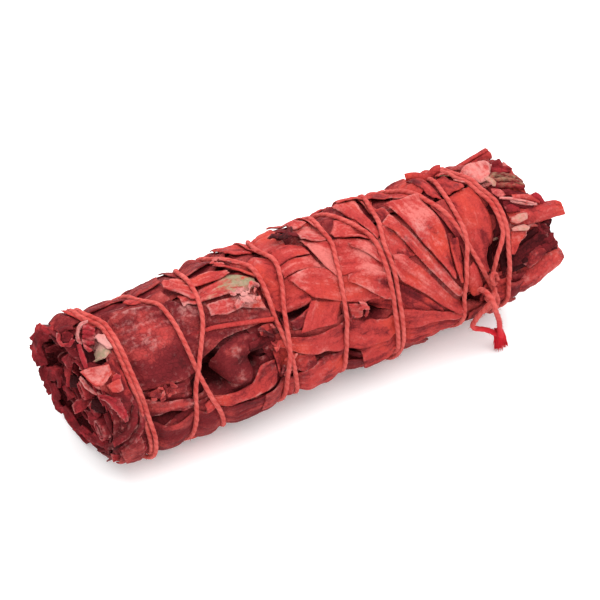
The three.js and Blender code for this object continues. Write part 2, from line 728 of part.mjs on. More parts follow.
function addWinding() {
  const knots = windingKnots();
  const end = FINISH_ANGLE - 360 * TURNS.length;
  const spots = [{ x: knots[0][1], angle: START_ANGLE }];
  for (let angle = START_ANGLE - (START_ANGLE % STRING_STEP) - STRING_STEP / 2; angle > end; angle -= STRING_STEP) {
    spots.push({ x: windingX(knots, angle), angle });
  }
  spots.push({ x: knots[knots.length - 1][1], angle: end });
  addNode('string_winding', tube(layStrand(spots, CROSSING_RISE), STRING_RADIUS, STRING_SIDES), STRING);
}

// The knot and its two tails, [x, angle, radius] each. The first tail hangs to the surface, the second
// makes a small loop before it meets the first.
const FIRST_TAIL = [
  [33.2, 74, 0], [31.1, 76, 0], [31.7, 83, 0], [33, 91, 0], [33.9, 99.5, 0], [35, 111, 17.8],
  [35.8, 120.5, 20], [36.3, 129, 23.3],
];
const SECOND_TAIL = [
  [33.6, 74, 0], [33.4, 88, 0], [32, 98, 0], [30.3, 105, 0], [29.4, 110.5, 17.4], [30.4, 115.5, 17.9],
  [32, 117.8, 18.6], [33.8, 119, 19.6], [34.4, 123, 21.3], [34.6, 128, 23],
];
const COIL = { radius: 0.85, half: 1.5, spots: 15, perTurn: 10, lean: 0.5 };
const KNOT_CLEARANCE = 0.12;

function knotCoil() {
  const spots = Array.from({ length: COIL.spots }, (_, k) => {
    const turn = (2 * Math.PI * k) / COIL.perTurn;
    const run = (2 * k) / (COIL.spots - 1) - 1;
    const angle = KNOT.angle + (COIL.half * run + COIL.lean * Math.sin(turn)) / MM_PER_DEGREE;
    return { x: KNOT.x + COIL.radius * Math.cos(turn), angle, rise: COIL.radius * Math.sin(turn) };
  });
  const under = Math.max(...spots.map(({ x, angle }) => laidUnder(x, angle, laid.length)));
  const middle = under + 2 * STRING_RADIUS + COIL.radius + KNOT_CLEARANCE;
  return { middle, spots: spots.map(({ x, angle, rise }) => ({ x, angle, radius: middle + rise })) };
}

function addKnot() {
  const coil = knotCoil();
  const tails = [FIRST_TAIL, SECOND_TAIL].map((route) => {
    const spots = route.map(([x, angle, least]) => ({ x, angle, least }));
    layStrand(spots, TAIL_RISE);
    spots[0].radius = coil.middle;
    return spots;
  });
  const pieces = [...tails, coil.spots].map((spots) => tube(spots, STRING_RADIUS, STRING_SIDES));
  addNode('string_knot', joined(pieces), STRING);
}

addInnerLeaves();
addUnderLeaves();
addBackLeaves();
FRONT_LEAVES.forEach(addLeaf);
STALKS.forEach(addStalk);
addWinding();
addKnot();

export default bundle;
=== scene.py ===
"""A bundle of dried, red-dyed sage leaves, bound with cotton string and knotted near one end.

Lengths are in millimetres until a mesh is made. A spot on the bundle is given by x along its axis and by
the angle in degrees from the top towards the front, which the camera faces.
"""
import json
import math

import bpy
import numpy as np
from mathutils import Matrix


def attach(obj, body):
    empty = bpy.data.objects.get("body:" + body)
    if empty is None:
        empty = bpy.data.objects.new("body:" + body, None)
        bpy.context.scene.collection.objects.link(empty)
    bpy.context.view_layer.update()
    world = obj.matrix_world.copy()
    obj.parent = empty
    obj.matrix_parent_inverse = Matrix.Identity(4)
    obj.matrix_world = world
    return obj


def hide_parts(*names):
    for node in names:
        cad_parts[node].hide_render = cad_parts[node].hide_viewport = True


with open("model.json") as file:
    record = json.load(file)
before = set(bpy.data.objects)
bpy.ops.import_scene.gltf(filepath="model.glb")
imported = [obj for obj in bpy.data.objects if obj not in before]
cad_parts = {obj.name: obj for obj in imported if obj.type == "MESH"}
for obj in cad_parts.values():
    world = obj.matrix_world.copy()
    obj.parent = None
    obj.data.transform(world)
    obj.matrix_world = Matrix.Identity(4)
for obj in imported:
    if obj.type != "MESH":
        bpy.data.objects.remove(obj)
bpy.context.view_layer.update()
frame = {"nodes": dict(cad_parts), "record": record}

bl_info = {
    "name": "Sage smudge stick",
    "version": (1, 0, 0),
    "blender": (4, 5, 0),
    "location": "3D View > Sidebar > Sage",
    "description": "Builds the leaves, the string and the stage of a bound bundle of dried sage",
    "category": "Object",
}

MM = 0.001
AXIS_HEIGHT = 15.2
TABLE_CLEARANCE = 0.06
LOWEST = 0.02
MAP_LEFT = -60.0
MAP_RIGHT = 60.0
MAP_STEP = 0.25
MAP_ANGLES = 360
MAP_RADIUS = 15.2
MM_PER_DEGREE = MAP_RADIUS * math.pi / 180
NODE_SPACING = 220
FLOOR_HALF = 3.0

LEFT_END = {"x": -48.2, "per_y": -0.16, "per_z": -0.05}
RIGHT_END = {"x": 43.0, "per_y": -0.04, "per_z": 0.2}
CORE_LEFT = -41.5
CORE_RIGHT = 38.5
CORE_RADIUS = 13.5
CORE_SWELL = 0.6
CORE_SWELL_ANGLE = 112
CORE_RAMP = 3.5
CORE_ROWS = 134
CORE_SIDES = 108

# Where the outer leaves leave a deep dark hollow: x, angle, half length, half height, depth.
# A wider leaf that dips into a hollow is also dyed darker by its depth: painted shade.
HOLLOWS = [
    (-25.4, 60, 1.6, 3.4, 3.6),
    (-24.6, 73, 1.8, 1.6, 3.6),
    (-17.6, 64, 0.9, 2.4, 3.0),
    (-35.0, 85.5, 3.4, 0.9, 2.6),
    (-2.8, 82.5, 2.2, 1.0, 3.2),
    (8.6, 63, 2.0, 2.4, 3.8),
    (34.6, 60, 0.6, 2.4, 2.6),
    (35.7, -18, 0.9, 1.8, 3.0),
    (-1.0, -16, 0.9, 1.3, 3.0),
    (7.6, -17, 0.8, 0.9, 2.4),
    (19.0, -20, 1.1, 0.8, 2.6),
    (21.4, -16, 0.7, 1.3, 2.6),
    (29.9, 90, 1.3, 1.6, 2.6),
    (-6.0, 43.5, 2.4, 0.9, 2.4),
    (-46.0, 18, 1.5, 2.2, 2.4),
    (3.4, 105, 0.7, 4.5, 3.2),
]

# Deep places of the left end: y and z from the axis, radius and depth.
LEFT_HOLLOWS = [
    (8.2, 4.6, 3.6, 5.0), (4.6, 9.4, 2.6, 4.5), (11.6, -2.0, 2.4, 3.5), (-3.5, 3.0, 1.6, 2.5),
    (-7.0, -2.0, 1.3, 3.0),
]
# Rings of curled inner leaves at each end: radii, the first outer ring, and the ranges from which each leaf's
# values are drawn. A pair of entries is for inner and for outer rings.
LEFT_SHEETS = {
    "rings": (1.2, 2.7, 4.2, 5.7, 7.2, 8.7, 10.0, 11.2, 12.0, 12.4, 12.8), "outer": 8, "turn": 37,
    "depth": (5, 7), "stick": ((-3.0, -0.4), (-0.5, 0.9)), "wave": (1.3, 0.6), "spiral": (0.25, 0.08),
    "flare": ((-0.6, 0.8), (0.6, 1.8)), "dye": (0.12, 0.42), "bloom": (0.0, 0.25), "seed": 0, "cell": 0.4,
}
RIGHT_SHEETS = {
    "rings": (1.8, 3.6, 5.4, 7.2, 9.0, 10.6, 11.8, 12.4, 12.8), "outer": 7, "turn": 53,
    "depth": (6, 9), "stick": ((-2.0, 2.2), (-2.0, 2.2)), "wave": (0.9, 0.5), "spiral": (0.25, 0.08),
    "flare": ((-0.5, 0.8), (0.4, 1.8)), "dye": (0.3, 0.6), "bloom": (0.1, 0.5), "seed": 1000, "cell": 0.5,
}
# Rolled leaves: start and end as (x, angle, radius), the roll's radius, its turns, how round it is, dye and
# bloom at both ends, undyed share, seed and mesh cell.
LEFT_ROLLS = [
    ((-42, 84, 11.0), (-48.6, 84, 11.4), 2.5, 1.7, 0.9, (0.4, 0.45), (0.3, 0.5), 0.0, 73, 0.35),
    ((-43, 40, 8.5), (-49.2, 40, 8.5), 2.0, 1.5, 0.8, (0.4, 0.5), (0.3, 0.4), 0.0, 74, 0.35),
]
RIGHT_ROLLS = [
    ((37, 42, 11.2), (50.6, 41, 13.0), 1.6, 1.35, 0.85, (0.85, 0.6), (0.9, 0.3), 0.7, 71, 0.35),
    ((36, 84, 10.8), (50.4, 82, 11.0), 2.7, 1.0, 0.8, (0.45, 0.58), (0.3, 0.35), 0.0, 72, 0.4),
    ((38.5, -50, 12.8), (47.8, -50, 14.4), 1.6, 1.3, 0.8, (0.5, 0.6), (0.3, 0.4), 0.0, 75, 0.35),
]
# Narrow leaves packed under the outer ones.
STRIP_COUNT = 110
STRIP_MOST = 15.0
CRUMB_CELL = 0.22
CRUMB_THICKNESS = 0.22
INNER_THICKNESS = 0.25
# How the wider leaf under each front leaf differs from it: it grows past the edges and lies flat.
UNDERLAYER = {
    "grow": 1.3, "green": 0.0, "most": 15.2, "sink": 0.8, "curl": (0, 0), "lift": (0, 0, 0, 0), "dome": 0.0,
    "folds": (),
}
# The leaves underneath, in rows of right end, left end and turn, one at each angle; their width; and the
# middles of the leaves behind, x and angle.
UNDER_LEAF_ROWS = ((40, 8.5, 0), (13, -17, 8), (-13, -45.5, -6))
UNDER_LEAF_ANGLES = (122, 174, 226, 278, 330)
UNDER_LEAF_WIDTH = 15.2
BACK_LEAF_SPOTS = ((-27, -62), (2, -76), (29, -68), (-14, -122), (24, -128), (-30, 128), (9, 128))
# Spots along a leaf's edge lines, and the least gap between two layers.
LINE_SPOTS = 200
LAYER_GAP = 0.05
# Torn bits of the ends: mesh cell, spots along their edges, how far out they and the end's rim reach, how far
# they sink into what carries them, how far a bit over the rim stands off, and how much it faces the camera.
TORN_CELL = 0.22
TORN_SPOTS = 60
TORN_REACH = 16.6
TORN_THICKNESS = 0.26
END_RADIUS = 15.4
TORN_SINK = 0.3
RIM_STAND_OFF = 0.5
LEAST_FACING = 0.6
# The bundle's ends in x, past which no torn bit goes.
FURTHEST_LEFT = -51.7
FURTHEST_RIGHT = 51.9
# The string's turns: x at each of these angles, turn by turn, from the knot to the left end and back.
TURN_ANGLES = [100, 80, 60, 40, 20, 0, -20, -100, -180]
TURNS = [
    [None, 34.1, 35.4, 38.2, 38.5, 37.4, 36.1, 36.0, 35.4],
    [37.0, 37.4, 37.9, 39.0, 39.35, 38.25, 37.0, 37.2, 37.2],
    [35.0, 33.4, 31.7, 30.4, 29.2, 27.4, 25.8, 20.0, 15.0],
    [12.9, 12.7, 12.8, 13.1, 13.4, 12.3, 10.5, 1.5, -6.0],
    [-9.3, -9.8, -10.4, -10.7, -10.6, -10.9, -14.0, -18.5, -22.0],
    [-25.2, -26.9, -28.0, -28.6, -28.9, -29.8, -32.8, -36.0, -38.5],
    [-39.75, -40.25, -40.75, -41.1, -41.3, -41.5, -44.3, -44.8, -42.6],
    [-38.95, -39.45, -39.95, -40.3, -40.5, -40.7, -43.4, -39.6, -34.0],
    [-30.4, -29.8, -28.3, -25.9, -23.7, -22.9, -22.6, -19.0, -15.0],
    [-11.6, -11.1, -10.1, -8.8, -6.9, -5.9, -7.2, -2.4, 0.0],
    [1.8, 2.1, 2.7, 3.6, 4.8, 6.0, 5.8, 8.5, 11.0],
    [14.1, 13.9, 14.0, 14.4, 14.7, 16.2, 17.1, 20.5, 24.0],
    [27.1, 27.4, 28.4, 30.1, 30.7, 30.9, 31.6, 32.2, 32.6],
]
# Where the knot lies, x and angle, and the angles at which the string starts and finishes there.
KNOT = (33.4, 74)
START_ANGLE = 97
FINISH_ANGLE = 86
# The two tails as spots in mm: x, y towards the back, and height above the table.
FIRST_TAIL = [
    (30.2, -14.2, 18.2), (30.4, -15.7, 19.1), (30.45, -17.8, 20.2), (30.7, -19.3, 19.9), (30.8, -20.7, 18.5),
    (32.0, -20.3, 14.6), (34.6, -17.4, 6.9), (35.4, -16.7, 3.8)]
SECOND_TAIL = [
    (33.6, -15.9, 18.0), (32.7, -17.1, 17.5), (31.3, -17.8, 16.4), (30.3, -17.3, 14.5), (29.4, -16.6, 11.9),
    (29.2, -15.8, 9.3), (29.6, -15.7, 8.3), (31.7, -15.8, 6.9), (33.6, -15.8, 5.3), (35.1, -16.1, 3.6)]
# The small bow that closes the knot.
KNOT_BOW = [
    (33.9, -15.6, 19.0), (33.1, -16.1, 19.7), (32.7, -15.9, 21.0), (33.3, -15.4, 21.9), (34.0, -15.4, 21.2),
    (34.2, -15.8, 19.9)]
TAIL_STEP = 0.25
TWINE_STEP = 0.4
TWINE_SIDES = 14
# How steeply the tight string may fall beside a high spot, and by how many steps the stretches overlap.
TIGHT_SLOPE = 0.22
TIGHT_OVERLAP = 40
# How far the string reaches out by itself near the right end, where the leaves under it fall away.
END_TURN_RADIUS = 15.5
# Loose fibres on the winding and on each tail, and slivers in each frayed end, with their lengths.
WINDING_FIBRES = 1500
TAIL_FIBRES = 60
BRUSH_SLIVERS = 130
BRUSH_LENGTH = 3.3
BRUSH_WAY = (0.05, -0.25, -1.0)
FIBRE_THICKNESS = 0.035
SLIVER_THICKNESS = 0.13
SLIVER_TIP = 0.05
# The stalks: node, route as (x, angle) spots, radius and dye.
STALKS = [
    ("red_stalk", [(-30, 28.6), (-27, 29.8), (-23, 31.2), (-18, 35.5), (-14, 39), (-11.3, 41.2)], 0.46, 0.72),
    ("cut_stalk", [(28, -39), (31, -34), (34.3, -29)], 0.95, 0.55),
]
# How mottled and how veined the leaves of each slot are; the mottle also sets how strong the painted light and
# shade of the leaf's grain are.
LEAF_FINISHES = {
    "leaf_dark": {"Mottle": 0.24, "Veins": 0.4},
    "leaf_red": {"Mottle": 0.40, "Veins": 0.45},
    "leaf_pale": {"Mottle": 0.45, "Veins": 0.6},
    "leaf_green": {"Mottle": 0.5, "Veins": 0.4},
}
# The camera, in degrees, mm and pixels; right and up say how far it aims beside the middle of the axis.
CAMERA = {
    "elevation": 48.0, "azimuth": -27.6, "distance": 480.0, "mm_per_pixel": 0.1935, "pixels": 600,
    "right": -0.484, "up": 0.677,
}


class SageSizes(bpy.types.PropertyGroup):
    """Sizes of the leaves and the string."""

    leaf_thickness: bpy.props.FloatProperty(
        name="Leaf thickness", description="Thickness of a dried leaf", default=0.32 * MM, unit="LENGTH")
    string_diameter: bpy.props.FloatProperty(
        name="String diameter", description="Thickness of the cotton string", default=0.92 * MM,
        unit="LENGTH")
    string_pitch: bpy.props.FloatProperty(
        name="String twist", description="Length of one turn of the string's two plies", default=3.2 * MM,
        unit="LENGTH")
    groove: bpy.props.FloatProperty(
        name="Groove depth", description="How deep the string presses into the leaves", default=1.0 * MM,
        unit="LENGTH")
    front_cell: bpy.props.FloatProperty(
        name="Front leaf cell", description="Mesh cell of the leaves on the front", default=0.32 * MM,
        unit="LENGTH")
    hidden_cell: bpy.props.FloatProperty(
        name="Other leaf cell", description="Mesh cell of the leaves underneath and inside",
        default=0.62 * MM, unit="LENGTH")


def colour_property(name, description, value):
    """A colour setting with its default value."""
    return bpy.props.FloatVectorProperty(
        name=name, description=description, default=value, size=3, subtype="COLOR", min=0, max=1)


class SageColours(bpy.types.PropertyGroup):
    """Colours of the leaves, the string and the stage."""

    # The deepest dye also serves as painted shade: on the core, on the near-black sheets in the hollows and on
    # leaves that dip into them.
    shadow: colour_property("Deepest dye", "Leaf colour where the dye is darkest", (0.030, 0.003, 0.004))
    deep: colour_property("Deep dye", "Leaf colour of the dark maroon leaves", (0.130, 0.010, 0.013))
    bright: colour_property("Bright dye", "Leaf colour of the coral leaves", (0.395, 0.037, 0.034))
    warm: colour_property("Warm dye", "Leaf colour where the dye leans to orange", (0.46, 0.044, 0.030))
    light: colour_property("Light dye", "Leaf colour where the dye is thin", (0.55, 0.135, 0.120))
    maroon: colour_property("Maroon dye", "Dark leaves where the dye is lighter", (0.33, 0.043, 0.039))
    crimson: colour_property("Crimson dye", "Leaf colour of the torn edges at the ends", (0.31, 0.018, 0.026))
    bloom: colour_property("Bloom", "Pale down on the leaves", (0.56, 0.25, 0.23))
    undyed: colour_property("Undyed leaf", "Grey-green of leaf that took no dye", (0.27, 0.225, 0.135))
    string_end: colour_property("String ends", "Cotton of the two tails", (0.56, 0.010, 0.022))
    string: colour_property("String", "Cotton string", (0.40, 0.030, 0.026))
    # Paler cotton fibres, and the painted highlight on the crowns of the plies.
    string_pale: colour_property("String highlights", "Fibres on top of the string", (0.61, 0.120, 0.102))
    floor: colour_property("Floor", "Plain pale floor", (0.93, 0.93, 0.93))


def smooth_step(t):
    """Runs from 0 to 1 as 3t^2 - 2t^3, flat at both ends."""
    t = np.clip(t, 0, 1)
    return t * t * (3 - 2 * t)


def noise(x, y, seed, octaves=3):
    """Smooth noise between about -1 and 1.

    Random numbers stand at the corners of a square lattice and are blended inside each square by
    3t^2 - 2t^3. Octaves are added, each twice as fine and half as strong.
    """
    table = np.random.default_rng(seed).uniform(-1, 1, (64, 64))
    total = 0.0
    for octave in range(octaves):
        u = np.asarray(x) * 2 ** octave + 7.3 * octave
        v = np.asarray(y) * 2 ** octave + 3.1 * octave
        i = np.floor(u).astype(int)
        j = np.floor(v).astype(int)
        s = smooth_step(u - i)
        t = smooth_step(v - j)
        near = table[i % 64, j % 64] * (1 - t) + table[i % 64, (j + 1) % 64] * t
        far = table[(i + 1) % 64, j % 64] * (1 - t) + table[(i + 1) % 64, (j + 1) % 64] * t
        total = total + (near * (1 - s) + far * s) * 0.5 ** octave
    return total / (2 - 0.5 ** (octaves - 1))


def place(x, angle, radius):
    """Points in mm: x stays, the angle turns from the top (+Z) to the front (-Y) round the axis."""
    turn = np.radians(angle)
    return np.stack([x, -radius * np.sin(turn), AXIS_HEIGHT + radius * np.cos(turn)], -1)


def from_axis(points):
    """The way from the axis straight out to each point."""
    return points * np.array([0, 1, 1]) - np.array([0, 0, AXIS_HEIGHT])


def unit(vectors):
    """The vectors at length 1."""
    return vectors / np.linalg.norm(vectors, axis=-1, keepdims=True)


def path_sides(centres):
    """For each spot of a path, the two directions square to it: sideways on the bundle, and outwards."""
    along = unit(np.gradient(centres, axis=0))
    side = unit(np.cross(along, from_axis(centres)))
    return side, np.cross(side, along)


def square_grid(rows, columns):
    """Two grids of numbers from 0 to 1, the first along the rows and the second along the columns."""
    u = np.linspace(0, 1, rows)[:, None] * np.ones((1, columns))
    v = np.ones((rows, 1)) * np.linspace(0, 1, columns)[None, :]
    return u, v


def end_of_leaves(end, angle, radius):
    """x where the bundle ends: a slanted plane, in y and z measured from the axis."""
    turn = np.radians(angle)
    return end["x"] - end["per_y"] * radius * np.sin(turn) + end["per_z"] * radius * np.cos(turn)


def gaussian_blur(field, sigma):
    """The field blurred by a bell curve of sigma mm, through its Fourier transform, so both sides wrap."""
    fx = np.fft.fftfreq(field.shape[0], MAP_STEP)
    fa = np.fft.rfftfreq(field.shape[1], MM_PER_DEGREE)
    bell = np.exp(-2 * (math.pi * sigma) ** 2 * (fx[:, None] ** 2 + fa[None, :] ** 2))
    return np.fft.irfft2(np.fft.rfft2(field) * bell, field.shape)


def spread(field, reach):
    """The largest value within reach mm along x and round the bundle."""
    out = field
    for axis, step in ((0, MAP_STEP), (1, MM_PER_DEGREE)):
        cells = max(1, round(reach / step))
        out = np.max([np.roll(out, k, axis) for k in range(-cells, cells + 1)], axis=0)
    return out


def look_up(field, x, angle):
    """The field at any x and angle, straight between its four nearest cells."""
    u = np.clip((np.asarray(x) - MAP_LEFT) / MAP_STEP, 0, field.shape[0] - 1.001)
    v = np.mod(np.asarray(angle), 360.0)
    i = np.floor(u).astype(int)
    j = np.floor(v).astype(int) % MAP_ANGLES
    s = u - i
    t = v - np.floor(v)
    k = (j + 1) % MAP_ANGLES
    low = field[i, j] * (1 - t) + field[i, k] * t
    high = field[i + 1, j] * (1 - t) + field[i + 1, k] * t
    return low * (1 - s) + high * s


def doubled(grid):
    """The grid with a new value halfway between each two neighbours, along both directions."""
    rows = np.empty((2 * grid.shape[0] - 1,) + grid.shape[1:])
    rows[::2] = grid
    rows[1::2] = (grid[1:] + grid[:-1]) / 2
    out = np.empty((rows.shape[0], 2 * grid.shape[1] - 1))
    out[:, ::2] = rows
    out[:, 1::2] = (rows[:, 1:] + rows[:, :-1]) / 2
    return out


class Bundle:
    """How far out the bundle reaches so far, as a radius for each step of x and each degree."""

    def __init__(self):
        xs = MAP_LEFT + MAP_STEP * np.arange(round((MAP_RIGHT - MAP_LEFT) / MAP_STEP))
        angles = np.arange(MAP_ANGLES, dtype=float)
        self.x, self.angle = np.meshgrid(xs, angles, indexing="ij")
        self.top = core_radius(self.x, self.angle)
        self.groove = np.zeros_like(self.top)

    def raise_to(self, x, angle, radius):
        """Raises the cells that a grid of spots covers to the grid's radius."""
        for _ in range(2):
            x, angle, radius = doubled(x), doubled(angle), doubled(radius)
        i = np.clip(np.round((x - MAP_LEFT) / MAP_STEP).astype(int), 0, self.top.shape[0] - 1)
        j = np.round(np.mod(angle, 360.0)).astype(int) % MAP_ANGLES
        np.maximum.at(self.top, (i.ravel(), j.ravel()), radius.ravel())

    def pressed(self, x, angle, radius):
        """Points in mm, moved in where the string presses, and kept above the table."""
        inner = smooth_step((radius - 6) / 6)
        points = place(x, angle, radius - inner * look_up(self.groove, x, angle))
        points[..., 2] = np.maximum(points[..., 2], TABLE_CLEARANCE)
        return points


def hollow_depth(x, angle):
    """How deep the bundle dips at a spot: the sum of a flat-bottomed bell for each hollow."""
    depth = 0
    for hx, ha, half_x, half_a, deep in HOLLOWS:
        turn = (np.asarray(angle) - ha + 180) % 360 - 180
        far = ((x - hx) / (half_x + 0.6)) ** 2 + (turn * MM_PER_DEGREE / (half_a + 0.6)) ** 2
        depth = depth + (deep + 0.6) * np.exp(-far ** 2)
    return depth


def core_radius(x, angle):
    """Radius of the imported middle: a little uneven, with a hollow wherever the outer leaves leave one."""
    radius = CORE_RADIUS + CORE_SWELL * np.cos(np.radians(angle - CORE_SWELL_ANGLE))
    radius = radius + 0.3 * noise(np.asarray(x) / 9, np.asarray(angle) / 22.5, 3)
    return radius - hollow_depth(x, angle)


def line_of(points, count, grow=0.0):
    """A rounded line through the given (x, angle) points, at evenly spaced spots, made longer by grow mm at
    both ends."""
    points = np.array(points, float)
    if grow:
        flat = points * np.array([1, MM_PER_DEGREE])
        first = flat[0] + grow * (flat[0] - flat[1]) / np.linalg.norm(flat[0] - flat[1])
        last = flat[-1] + grow * (flat[-1] - flat[-2]) / np.linalg.norm(flat[-1] - flat[-2])
        points = np.concatenate([[first], flat, [last]]) / np.array([1, MM_PER_DEGREE])
    steps = np.hypot(np.diff(points[:, 0]), np.diff(points[:, 1]) * MM_PER_DEGREE)
    way = np.concatenate([[0], np.cumsum(steps)])
    fine = np.linspace(0, way[-1], 160)
    line = np.stack([np.interp(fine, way, points[:, k]) for k in (0, 1)], -1)
    for _ in range(10):
        line[1:-1] = (line[:-2] + 2 * line[1:-1] + line[2:]) / 4
    steps = np.hypot(np.diff(line[:, 0]), np.diff(line[:, 1]) * MM_PER_DEGREE)
    way = np.concatenate([[0], np.cumsum(steps)])
    even = np.linspace(0, way[-1], count)
    return np.stack([np.interp(even, way, line[:, k]) for k in (0, 1)], -1), way[-1]


def with_poles(rings, centres):
    """The rings of a tube, with one more at each end whose points all lie on the centre."""
    sides = rings.shape[1]
    first = np.repeat(centres[:1, None], sides, 1)
    last = np.repeat(centres[-1:, None], sides, 1)
    return np.concatenate([first, rings, last])


class Shells:
    """A growing list of thin closed shells that becomes one mesh."""

    def __init__(self):
        self.points = []
        self.quads = []
        self.uvs = []
        self.tints = []
        self.count = 0

    def add(self, points, quads, uv, tint):
        """Takes in a shell's points in mm, its four-cornered faces, and each point's leaf place and tint."""
        self.points.append(points.reshape(-1, 3))
        self.quads.append(quads + self.count)
        self.uvs.append(uv.reshape(-1, 2))
        self.tints.append(tint.reshape(-1, 4))
        self.count += points.size // 3

    def add_sheet(self, middle, thickness, uv, tint):
        """A sheet with a front, a back and a rim: its grid of middle points moved half the thickness each
        way along the grid's normal."""
        along = np.gradient(middle, axis=0)
        across = np.gradient(middle, axis=1)
        normal = np.cross(along, across)
        normal /= np.maximum(np.linalg.norm(normal, axis=-1, keepdims=True), 1e-9)
        half = np.asarray(thickness)[..., None] / 2 if np.ndim(thickness) else thickness / 2
        rows, columns = middle.shape[:2]
        index = np.arange(rows * columns).reshape(rows, columns)
        under = index + rows * columns
        faces = [
            np.stack([index[:-1, :-1], index[1:, :-1], index[1:, 1:], index[:-1, 1:]], -1),
            np.stack([under[:-1, :-1], under[:-1, 1:], under[1:, 1:], under[1:, :-1]], -1),
            np.stack([index[:-1, 0], under[:-1, 0], under[1:, 0], index[1:, 0]], -1),
            np.stack([index[:-1, -1], index[1:, -1], under[1:, -1], under[:-1, -1]], -1),
            np.stack([index[0, :-1], index[0, 1:], under[0, 1:], under[0, :-1]], -1),
            np.stack([index[-1, :-1], under[-1, :-1], under[-1, 1:], index[-1, 1:]], -1),
        ]
        quads = np.concatenate([face.reshape(-1, 4) for face in faces])
        points = np.stack([middle + half * normal, middle - half * normal])
        self.add(points, quads, np.stack([uv, uv]), np.stack([tint, tint]))

    def add_tube(self, centres, side, out, radius, uv_along, tint, sides):
        """A closed tube: a ring of radius (a grid of station by corner) about each centre, in the plane of
        the two directions side and out. Its ends close on their centres."""
        turn = np.linspace(0, 2 * math.pi, sides, endpoint=False)
        ring = side[:, None] * np.cos(turn)[None, :, None] + out[:, None] * np.sin(turn)[None, :, None]
        points = centres[:, None] + ring * radius[..., None]
        points = with_poles(points, centres)
        rows = len(points)
        index = np.arange(rows * sides).reshape(rows, sides)
        ahead = np.roll(index, -1, 1)
        quads = np.stack([index[:-1], index[1:], ahead[1:], ahead[:-1]], -1).reshape(-1, 4)
        way = np.concatenate([uv_along[:1], uv_along, uv_along[-1:]])
        uv = np.stack([np.repeat(way[:, None], sides, 1), np.repeat(turn[None] / (2 * math.pi), rows, 0)], -1)
        tints = np.concatenate([tint[:1], tint, tint[-1:]])
        self.add(points, quads, uv, tints)

    def to_object(self, name, material, replaced=()):
        """One mesh object at the origin, smooth shaded, that rides on the bundle."""
        mesh = bpy.data.meshes.new(name)
        points = np.concatenate(self.points) * MM
        if not np.isfinite(points).all():
            raise RuntimeError(name + " has no proper shape")
        points[:, 2] = np.maximum(points[:, 2], LOWEST * MM)
        quads = np.concatenate(self.quads)
        mesh.vertices.add(len(points))
        mesh.vertices.foreach_set("co", points.ravel())
        mesh.loops.add(quads.size)
        mesh.loops.foreach_set("vertex_index", quads.ravel())
        mesh.polygons.add(len(quads))
        mesh.polygons.foreach_set("loop_start", np.arange(0, quads.size, 4))
        mesh.update(calc_edges=True)
        mesh.polygons.foreach_set("use_smooth", np.ones(len(quads), bool))
        uv = mesh.uv_layers.new(name="leaf")
        uv.data.foreach_set("uv", np.concatenate(self.uvs)[quads.ravel()].ravel())
        tint = mesh.attributes.new("tint", "FLOAT_COLOR", "POINT")
        tint.data.foreach_set("color", np.concatenate(self.tints).ravel())
        mesh.validate()
        mesh.materials.append(material)
        piece = bpy.data.objects.new(name, mesh)
        bpy.context.scene.collection.objects.link(piece)
        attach(piece, "root")
        if replaced:
            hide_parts(*replaced)
        return piece


def tint_of(shape, dye, bloom, green=0.0):
    """The point colour that a leaf's material reads: dye, bloom and undyed share, each from 0 to 1."""
    tint = np.ones(shape + (4,))
    tint[..., 0] = dye
    tint[..., 1] = bloom
    tint[..., 2] = green
    return tint


# Soft spots that are lighter or darker than the leaf they lie on: x, angle, radius in mm, dye, bloom, green.
SPOTS = [
    (-35, 42, 5.0, -0.10, -0.20, 0),
    (-36, 8, 5.0, 0.06, 0.10, 0),
    (-34, 27, 2.0, 0.10, 0.30, 0),
    (-28.7, -8, 1.6, 0.40, -0.40, 0),
    (-26, 11, 1.6, 0.05, 0.40, 0.5),
    (-20.4, 53, 1.2, 0.20, 0.40, 0),
    (-20.4, 72, 1.2, 0.20, 0.30, 0),
    (2.5, 13, 3.2, 0.22, -0.30, 0),
    (2.0, -14, 3.0, 0.05, 0.35, 0),
    (-1.0, 30, 4.0, 0.05, -0.10, 0),
    (-3.3, 21, 1.6, 0.20, 0.40, 0),
    (10, 30, 2.6, 0.12, -0.20, 0),
    (-9, -5, 1.4, 0.20, 0.50, 0),
    (17, 40, 3.0, 0.08, -0.50, 0),
    (24, 6, 2.4, 0.12, -0.40, 0),
    (23, 16, 2.0, 0.10, 0.50, 0),
    (-15, 19, 2.2, 0.15, 0.60, 0),
    (-42.8, 14, 1.6, 0.30, 0.70, 0),
]


def spots_at(x, angle):
    """How much the soft spots change dye, bloom and green at each point: a sum of bell curves."""
    change = np.zeros(np.shape(x) + (3,))
    for sx, sa, radius, dye, bloom, green in SPOTS:
        turn = (angle - sa + 180) % 360 - 180
        weight = np.exp(-((x - sx) ** 2 + (turn * MM_PER_DEGREE) ** 2) / radius ** 2)
        change += weight[..., None] * np.array([dye, bloom, green])
    return change


def ragged(way, amount, seed):
    """How far a torn edge stands back, from 0 to about twice the amount, along its way in mm."""
    fine = 0.5 + 0.5 * noise(way / 1.3, 0.5 + 0 * way, seed, 4)
    notch = np.clip(noise(way / 3.2, 9.5 + 0 * way, seed + 1, 2) - 0.45, 0, 1) * 3
    return amount * (fine + notch)


def curled(across, width, strip, radius):
    """A margin that curls up: the outermost strip of the width follows a circle of the given radius.

    Returns the new distance across and the rise."""
    over = np.clip(across - (width - strip), 0, None) / radius
    over = np.minimum(over, 4.2)
    bent = np.where(over > 0, width - strip + radius * np.sin(over), across)
    return bent, radius * (1 - np.cos(over))


